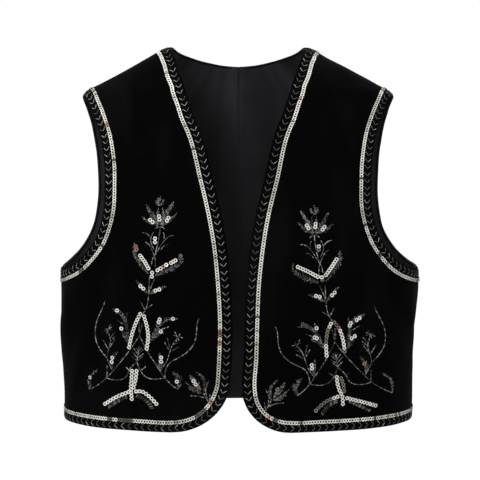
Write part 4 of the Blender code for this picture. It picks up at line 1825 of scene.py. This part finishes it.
STEMS = (
    Stem(
        ((4.9, 63.0), (0.3, 56.3), (-5.1, 48.1), (-11.8, 39.6), (-21.5, 27.8), (-27.5, 21.2), (-36.0, 14.5),
         (-44.8, 9.6)),
    ),
    Stem(
        ((5.2, 63.0), (9.8, 53.9), (13.9, 46.0), (19.7, 36.9), (25.8, 27.8), (30.6, 20.8), (36.7, 14.5),
         (42.5, 10.0)),
    ),
    Stem(((4.9, 63.0), (5.7, 66.0), (7.8, 75.7)), 0.8, Tone.DARK),
    Stem(
        ((-27.5, 21.2), (-22.5, 19.5), (-16.6, 19.1), (-11.2, 20.2), (-7.7, 22.9), (-6.0, 26.6), (-4.0, 30.6),
         (1.8, 36.9)),
    ),
    Stem(((2.5, 36.9), (4.2, 32.7), (6.6, 27.5), (10.3, 23.0), (16.1, 20.3), (22.1, 19.9), (30.4, 21.2))),
    Stem(((-7.9, 31.5), (-4.5, 28.2)), 1.1),
    Stem(((6.9, 28.9), (11.5, 32.4)), 1.1),
    Stem(
        ((-29.4, 98.1), (-31.2, 92.6), (-34.2, 85.9), (-36.9, 79.1), (-38.5, 72.0), (-38.8, 64.8),
         (-37.8, 57.5), (-34.8, 50.8), (-31.2, 45.4), (-27.3, 41.0)), 1.15,
    ),
    Stem(((-27.1, 33.3), (-26.8, 27.2), (-27.5, 21.4))),
    Stem(
        ((64.5, 80.8), (62.7, 75.7), (62.1, 68.4), (61.3, 61.4), (58.5, 53.9), (52.4, 46.6), (43.9, 41.1),
         (35.5, 36.3), (31.8, 30.8), (30.6, 26.0), (30.5, 21.2)), 1.15,
    ),
    Stem(((7.8, 84.7), (10.6, 89.0), (12.8, 94.8), (14.0, 104.8), (14.6, 114.5), (15.1, 121.5))),
    Stem(((14.0, 105.4), (17.0, 113.2), (20.4, 121.0))),
    Stem(((10.0, 89.4), (5.8, 97.7))),
    Stem(((11.0, 89.5), (17.5, 94.1))),
    Stem(
        ((17.0, 133.9), (18.2, 139.9), (20.0, 143.1), (24.0, 149.4), (28.1, 156.2), (32.9, 161.3),
         (35.8, 163.0), (39.6, 163.3)),
    ),
    Stem(((20.9, 131.9), (20.7, 139.9), (20.0, 143.1), (17.6, 148.8), (14.4, 154.5), (11.2, 156.9))),
    Stem(((19.5, 149.5), (17.1, 154.9), (16.3, 159.1), (17.5, 163.5), (19.2, 166.6))),
    Stem(((15.6, 162.1), (13.3, 164.7), (11.2, 165.8), (8.2, 166.4))),
    Stem(((26.3, 149.5), (29.7, 153.0), (33.8, 154.5)), 0.7),
    Stem(((29.4, 160.2), (29.8, 163.5), (28.9, 166.6)), 0.9),
    Stem(((20.0, 143.1), (22.6, 152.0), (24.3, 160.6), (25.4, 166.7), (25.6, 172.7)), 1.1),
    Stem(((25.6, 172.1), (23.0, 171.7), (20.7, 169.9)), 1.2),
    Stem(((25.6, 172.1), (28.1, 171.7), (30.2, 170.0)), 1.2),
    Stem(
        ((-22.1, 29.4), (-24.9, 35.1), (-26.9, 40.5), (-26.6, 46.6), (-24.9, 52.7), (-23.9, 58.1),
         (-25.1, 64.2), (-26.3, 69.0)), 0.9,
    ),
    Stem(((-26.7, 50.8), (-31.2, 59.1))),
    Stem(((-25.9, 49.6), (-19.6, 59.7))),
    Stem(((-24.3, 57.3), (-19.1, 62.8)), 0.9),
    Stem(((-24.2, 60.9), (-19.8, 66.7)), 0.9),
    Stem(((-30.2, 67.6), (-22.5, 71.8)), 0.9),
    Stem(((-27.5, 65.7), (-23.7, 74.6)), 0.9),
    Stem(((-29.0, 70.4), (-22.2, 68.8)), 0.8, Tone.DARK),
    Stem(((25.5, 28.2), (29.4, 33.3), (32.8, 39.3), (34.7, 45.4), (37.4, 52.9), (42.2, 60.4)), 0.9),
    Stem(((34.0, 49.6), (30.1, 56.5))),
    Stem(((35.0, 51.4), (32.8, 61.1)), 0.9),
    Stem(((36.7, 47.6), (43.9, 51.9))),
    Stem(((40.3, 67.0), (44.2, 58.5)), 0.9),
    Stem(((38.9, 63.8), (48.1, 60.9)), 0.9),
    Stem(((41.5, 57.3), (45.4, 65.0)), 0.8),
    Stem(((38.1, 53.9), (43.0, 56.1)), 0.8, Tone.DARK),
    Stem(((2.5, 36.7), (3.5, 44.2), (4.8, 52.4)), 1.1),
    Stem(((2.3, 38.4), (-2.3, 43.2)), 0.9),
    Stem(((2.7, 41.5), (-1.9, 47.6)), 0.9),
    Stem(((3.5, 44.8), (-0.4, 50.5)), 0.9),
    Stem(((3.0, 38.4), (8.1, 42.7)), 0.9),
    Stem(((3.5, 41.5), (9.0, 45.4)), 0.9),
    Stem(((4.1, 44.8), (8.8, 49.6)), 0.9),
    Stem(((4.4, 48.1), (1.8, 51.4)), 0.9),
    Stem(((4.6, 48.1), (7.3, 51.4)), 0.9),
    Stem(((-10.3, 74.2), (-17.1, 78.8)), 1.0),
    Stem(((26.7, 69.4), (34.5, 72.3)), 1.0),
    Stem(((72.5, -0.2), (64.8, 2.7), (56.1, 3.3)), 1.1),
    Stem(((72.5, 0.6), (71.1, 9.0), (74.2, 18.2)), 1.1),
    Stem(((74.5, -3.3), (75.4, 4.4)), 1.0),
    Stem(((74.2, -3.8), (69.1, 5.6)), 1.2),
)
LEAVES = (
    Leaf(((-6.0, 56.3), (-9.6, 63.0), (-13.2, 70.8)), 2.2),
    Leaf(((-6.0, 60.5), (-7.9, 70.8), (-9.1, 79.3), (-6.5, 87.2)), 2.0, Tone.DARK),
    Leaf(((-8.4, 76.9), (-13.0, 84.8), (-21.7, 90.5)), 2.4),
    Leaf(((14.3, 56.5), (20.7, 63.0), (28.8, 67.4)), 2.4),
    Leaf(((17.9, 61.1), (23.3, 72.0), (25.3, 83.6)), 2.2),
    Leaf(((25.2, 73.3), (32.4, 79.9), (43.3, 79.9)), 1.9),
    Leaf(((-22.1, 29.0), (-22.5, 38.1), (-20.3, 43.0), (-16.9, 47.3)), 2.4),
    Leaf(((25.5, 28.4), (26.0, 37.5), (24.6, 46.1)), 2.4),
    Leaf(((-45.0, 9.3), (-45.0, 18.7), (-42.7, 25.8)), 2.3),
    Leaf(((-42.7, 23.8), (-39.9, 27.5), (-36.4, 29.4)), 1.2),
    Leaf(((42.7, 9.6), (44.7, 18.1), (42.2, 23.3), (38.1, 27.5)), 2.8),
    Leaf(((13.4, 105.0), (8.6, 110.8), (1.3, 119.1)), 2.0),
    Leaf(((15.1, 104.8), (22.1, 108.9), (31.6, 112.5)), 2.1),
    Leaf(((67.0, 6.4), (60.9, 7.8), (53.6, 11.7)), 2.0),
    Leaf(((65.5, 6.9), (56.1, 12.4), (50.0, 17.8)), 1.0),
    Leaf(((66.2, 8.8), (60.7, 16.3), (55.3, 23.8)), 2.7, Tone.SILVER),
    Leaf(((68.9, 6.4), (70.4, 14.5), (67.9, 21.8), (61.9, 26.9)), 1.9),
    Leaf(((0.5, 156.2), (-0.1, 148.2), (2.9, 139.9), (8.0, 132.3), (14.1, 125.1)), 2.4, Tone.GREY, 7),
    Leaf(((20.9, 123.3), (29.7, 127.2), (38.0, 130.5), (44.6, 134.9), (47.7, 139.6), (46.4, 145.0)), 2.5, Tone.GREY, 8),
    Leaf(((24.6, 173.6), (13.8, 177.5), (6.9, 182.9)), 1.7),
    Leaf(((24.5, 174.0), (17.6, 184.1), (11.6, 194.8)), 2.4),
    Leaf(((23.5, 174.4), (23.5, 182.6), (23.8, 191.4)), 1.5),
    Leaf(((27.5, 174.4), (28.6, 182.6), (28.1, 191.4)), 1.5),
    Leaf(((26.5, 173.8), (32.3, 185.8), (39.7, 197.7)), 2.3, Tone.SILVER),
    Leaf(((27.2, 173.6), (35.4, 178.8), (42.3, 186.1)), 1.7),
    Leaf(((25.1, 193.0), (22.8, 196.7), (22.9, 200.1)), 1.6),
    Leaf(((25.2, 193.0), (24.6, 198.0), (26.5, 202.8)), 1.7),
    Leaf(((25.4, 193.0), (28.2, 196.3), (30.1, 200.0)), 1.4),
)
HATCHES = (
    Hatch(((-7.2, 2.7), (-16.6, -2.2), (-26.1, -8.2)), 1.7),
    Hatch(((2.0, 3.5), (8.8, 0.6), (13.9, -3.7), (18.0, -9.9)), 2.1),
    Hatch(((4.7, 76.9), (4.9, 66.0)), 0.9),
)


@dataclass
class Motif:
    """The embroidery on a front: a rooted tree with an arch, ferns, wings and a flower."""

    cloth: Cloth
    finishes: Finishes
    borders: Borders
    side: Side
    stem_width: float = 0.0009
    stem_pitch: float = 0.0021
    leaf_width: float = 0.00052
    leaf_pitch: float = 0.0013
    hatch_pitch: float = 0.0013
    lift: float = 0.00018
    sequin_lift: float = 0.00105
    # Rounds of finding where a sight line meets the cloth
    fit_rounds: int = 8
    # A stem's stitches overlap a little and slant; a leaf's reach unevenly far
    stem_overlap: float = 0.56
    stem_slant: float = 0.00015
    leaf_unevenness: float = 0.24
    hatch_unevenness: float = 0.1

    def __post_init__(self) -> None:
        """Seeds the unevenness of the stitches."""
        self.rng = np.random.default_rng(self.borders.seed + self.side.value)

    def places(self, spots: Array) -> Array:
        """The places on the cloth of points of the motif.

        Args:
            spots: Rows of motif units towards the centre front and up.

        Returns:
            Rows of angle and height.
        """
        fit, tilt = FITS[self.side], math.radians(EYE_TILT)
        u, v = np.atleast_2d(spots).T
        right = fit.root[0] - self.side.value * u * np.where(u < 0, fit.outer_stretch, 1.0) * MOTIF_UNIT
        up = fit.root[1] + (fit.rise * v + fit.slant * u) * MOTIF_UNIT
        ahead = np.array([0.0, math.cos(tilt), -math.sin(tilt)]) * SHEET_AWAY
        ray = ahead + right[:, None] * (1, 0, 0) + up[:, None] * (0, math.sin(tilt), math.cos(tilt))
        depth = np.full(len(u), -SIDE_DEPTH)
        for _ in range(self.fit_rounds):
            points = EYE + ray * ((depth - EYE[1]) / ray[:, 1])[:, None]
            places = self.cloth.form.across(points[:, 0] * self.side.value, points[:, 2], True)
            depth = self.cloth.form.points(places)[:, 1]
        return places

    def rail(self, path: Path) -> Rail:
        """Draws a smooth line through points of the motif and lays it on the cloth.

        Args:
            path: The points.

        Returns:
            The line.
        """
        knots = np.array(path, float)
        if len(knots) == 1:
            knots = np.concatenate([knots + (0, 1), knots - (0, 1)])
        runs = lengths(knots)
        where = np.linspace(0, runs[-1], max(6, round(runs[-1]) + 1))
        spots = smooth(runs, knots, np.gradient(knots, runs, axis=0), where)
        return Rail(self.cloth, self.places(spots), self.side)

    def shades(self, tone: Tone, count: int) -> Array:
        """Picks each stitch's thread for a tone: 0 for silver, 1 for grey, 2 for dark."""
        drawn = self.rng.uniform(size=count)
        return (drawn > tone.value[0]).astype(int) + (drawn > sum(tone.value)).astype(int)

    def stem(self, stem: Stem) -> Array:
        """Lays the slanting stitches of a stem.

        Args:
            stem: The stem.

        Returns:
            The stitches' frames.
        """
        rail = self.rail(stem.path)
        frames = rail.frames(rail.spaced(self.stem_pitch), self.lift)
        half = frames[:, 0] * self.stem_pitch * self.stem_overlap + frames[:, 1] * self.stem_slant
        return laid(frames[:, 3] - half, frames[:, 3] + half, frames[:, 2], self.stem_width * stem.width)

    def leaf(self, leaf: Leaf) -> Array:
        """Lays the slanting stitches of a leaf, from its midline out to its uneven edge.

        Args:
            leaf: The leaf.

        Returns:
            The stitches' frames.
        """
        rail = self.rail(leaf.path)
        stations = rail.spaced(self.leaf_pitch)
        share = stations / rail.length
        width = leaf.half_width * MOTIF_UNIT * np.sin(math.pi * (0.1 + 0.88 * share**0.8)) ** 0.7
        if leaf.lobes:
            width *= 0.62 + 0.5 * np.abs(np.sin(math.pi * leaf.lobes * share))
        made = []
        for hand in (-1, 1):
            reach = (width * (0.92 + self.rng.normal(0, self.leaf_unevenness, len(width))))[:, None]
            frames = rail.frames(stations, self.lift + 0.0001 * hand)
            start = frames[:, 3] - frames[:, 0] * reach * 0.3
            end = frames[:, 3] + frames[:, 1] * hand * reach + frames[:, 0] * reach * 0.7
            made.append(laid(start, end, frames[:, 2], self.leaf_width))
        return np.concatenate(made)

    def hatch(self, hatch: Hatch) -> Array:
        """Lays the cross stitches of a band.

        Args:
            hatch: The band.

        Returns:
            The stitches' frames.
        """
        rail = self.rail(hatch.path)
        frames = rail.frames(rail.spaced(self.hatch_pitch), self.lift)
        reach = hatch.half_width * MOTIF_UNIT * (1 + self.rng.normal(0, self.hatch_unevenness, len(frames)))[:, None]
        half = frames[:, 1] * reach + frames[:, 0] * reach * 0.35
        return laid(frames[:, 3] - half, frames[:, 3] + half, frames[:, 2], self.leaf_width)

    def stitches(self) -> bpy.types.Object:
        """Builds every stitch of the motif.

        Returns:
            The piece.
        """
        frames = [self.hatch(hatch) for hatch in HATCHES] + [self.leaf(leaf) for leaf in LEAVES]
        frames += [self.stem(stem) for stem in STEMS]
        tones = [Tone.GREY] * len(HATCHES) + [one.tone for one in (*LEAVES, *STEMS)]
        shades = np.concatenate([self.shades(tone, len(some)) for tone, some in zip(tones, frames)])
        model = self.borders.stitch
        points, faces = model.copies(np.concatenate(frames))
        finishes = self.finishes.silver, self.finishes.grey, self.finishes.dark
        piece = new_piece(f"motif_stitches_{self.side.word}", points, faces, *finishes)
        piece.data.polygons.foreach_set("material_index", np.repeat(shades, len(model.faces)).astype(np.int32))
        return settle(piece, "silver_sequins", angle=60.0)

    def sequins(self) -> bpy.types.Object:
        """Builds the motif's sequins.

        Returns:
            The piece.
        """
        frames, tones = [], []
        for row in ROWS[self.side]:
            rail = self.rail(row.path)
            stations = np.linspace(0, rail.length, row.count) if row.count > 1 else np.array([rail.length / 2])
            frames.append(self.borders.tilted(rail.frames(stations, self.sequin_lift), self.rng))
            shades = np.clip(0.92 + self.rng.normal(0, 0.06, row.count), 0, 1)
            shades[list(row.copper)] = self.rng.uniform(0.02, 0.12, len(row.copper))
            shades[list(row.dull)] = self.rng.uniform(0.26, 0.44, len(row.dull))
            tones.append(shades)
        return self.borders.string(f"motif_sequins_{self.side.word}", np.concatenate(frames), np.concatenate(tones))

    def build(self) -> list[bpy.types.Object]:
        """Builds the motif's stitches and sequins."""
        return [self.stitches(), self.sequins()]


# ---- Studio ----


@dataclass
class Studio:
    """A pale floor, soft light and the camera at the photograph's angle."""

    floor_height: float = -1.15
    floor_radius: float = 3.2
    lens: float = 145.2
    # name, place, aim, size, power in watts
    lamps: tuple[tuple[str, Triple, Triple, float, float], ...] = (
        ("key", (-1.2, -2.2, 1.5), (0.0, 0.0, -0.2), 1.2, 54.0),
        ("fill", (1.7, -2.0, 0.5), (0.0, 0.0, -0.2), 1.8, 8.0),
        ("top", (0.2, 0.9, 1.9), (0.0, 0.0, -0.1), 1.6, 12.0),
    )
    # The white room as the camera sees it, and its light, which grows from level with the floor up
    seen_level: float = 1.02
    sky_level: float = 0.25
    sky_slope: float = 0.65
    sensor_width: float = 36.0

    def aimed(self, place: Triple, aim: Triple) -> Matrix:
        """The placing of a lamp or camera that looks at a point."""
        look = Vector(aim) - Vector(place)
        return Matrix.Translation(place) @ look.to_track_quat("-Z", "Y").to_matrix().to_4x4()

    def build(self) -> None:
        """Builds the floor, the lamps, the white surroundings and the camera."""
        scene = bpy.context.scene
        deselect()
        bpy.ops.mesh.primitive_circle_add(
            vertices=96, radius=self.floor_radius, fill_type="NGON", location=(0, 0, self.floor_height)
        )
        floor = bpy.context.object
        floor.name = "studio_floor"
        bpy.ops.object.transform_apply(location=True, rotation=True, scale=True)
        floor.data.materials.append(Paper().make())
        for name, place, aim, size, power in self.lamps:
            lamp = bpy.data.lights.new(f"{name}_light", "AREA")
            lamp.shape, lamp.size, lamp.energy = "DISK", size, power
            holder = bpy.data.objects.new(lamp.name, lamp)
            holder.matrix_world = self.aimed(place, aim)
            scene.collection.objects.link(holder)
        world = bpy.data.worlds.new("white_room")
        world.use_nodes = True
        room = Nodes(world.node_tree, "Background")
        seen = Number(room.tree, room.node("LightPath").outputs["Is Camera Ray"])
        height = room.along("Z", room.place("Generated"))
        soft = (height * self.sky_slope + self.sky_level).clamped()
        room.set("Color", (1.0, 1.0, 1.0))
        room.set("Strength", seen * self.seen_level + (1 - seen) * soft)
        scene.world = world
        scene.view_settings.view_transform = "Standard"
        data = bpy.data.cameras.new("camera")
        data.lens, data.sensor_width = self.lens, self.sensor_width
        camera = bpy.data.objects.new("camera", data)
        camera.location = EYE
        camera.rotation_euler = (math.radians(90 - EYE_TILT), 0, 0)
        scene.collection.objects.link(camera)
        scene.camera = camera


def corners(box: Sequence[Vector]) -> list[list[float]]:
    """A box's two corners as plain lists."""
    return [[round(float(x), 6) for x in corner] for corner in box]


def main() -> None:
    """Builds the vest over its solids and reports each piece."""
    logging.basicConfig(level=logging.INFO, format="%(name)s: %(message)s", stream=sys.stdout)
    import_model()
    form = Form()
    cloth, pattern, finishes = Cloth(form), Pattern(form), Finishes()
    Shell(cloth, pattern, finishes).build()
    borders = Borders(cloth, pattern, finishes, Model.sequin(*SEQUIN_SIZE), Model.stitch(STITCH_SIDES))
    borders.build()
    for side in Side:
        Motif(cloth, finishes, borders, side).build()
    Studio().build()
    bpy.context.view_layer.update()


if __name__ == "__main__":
    main()
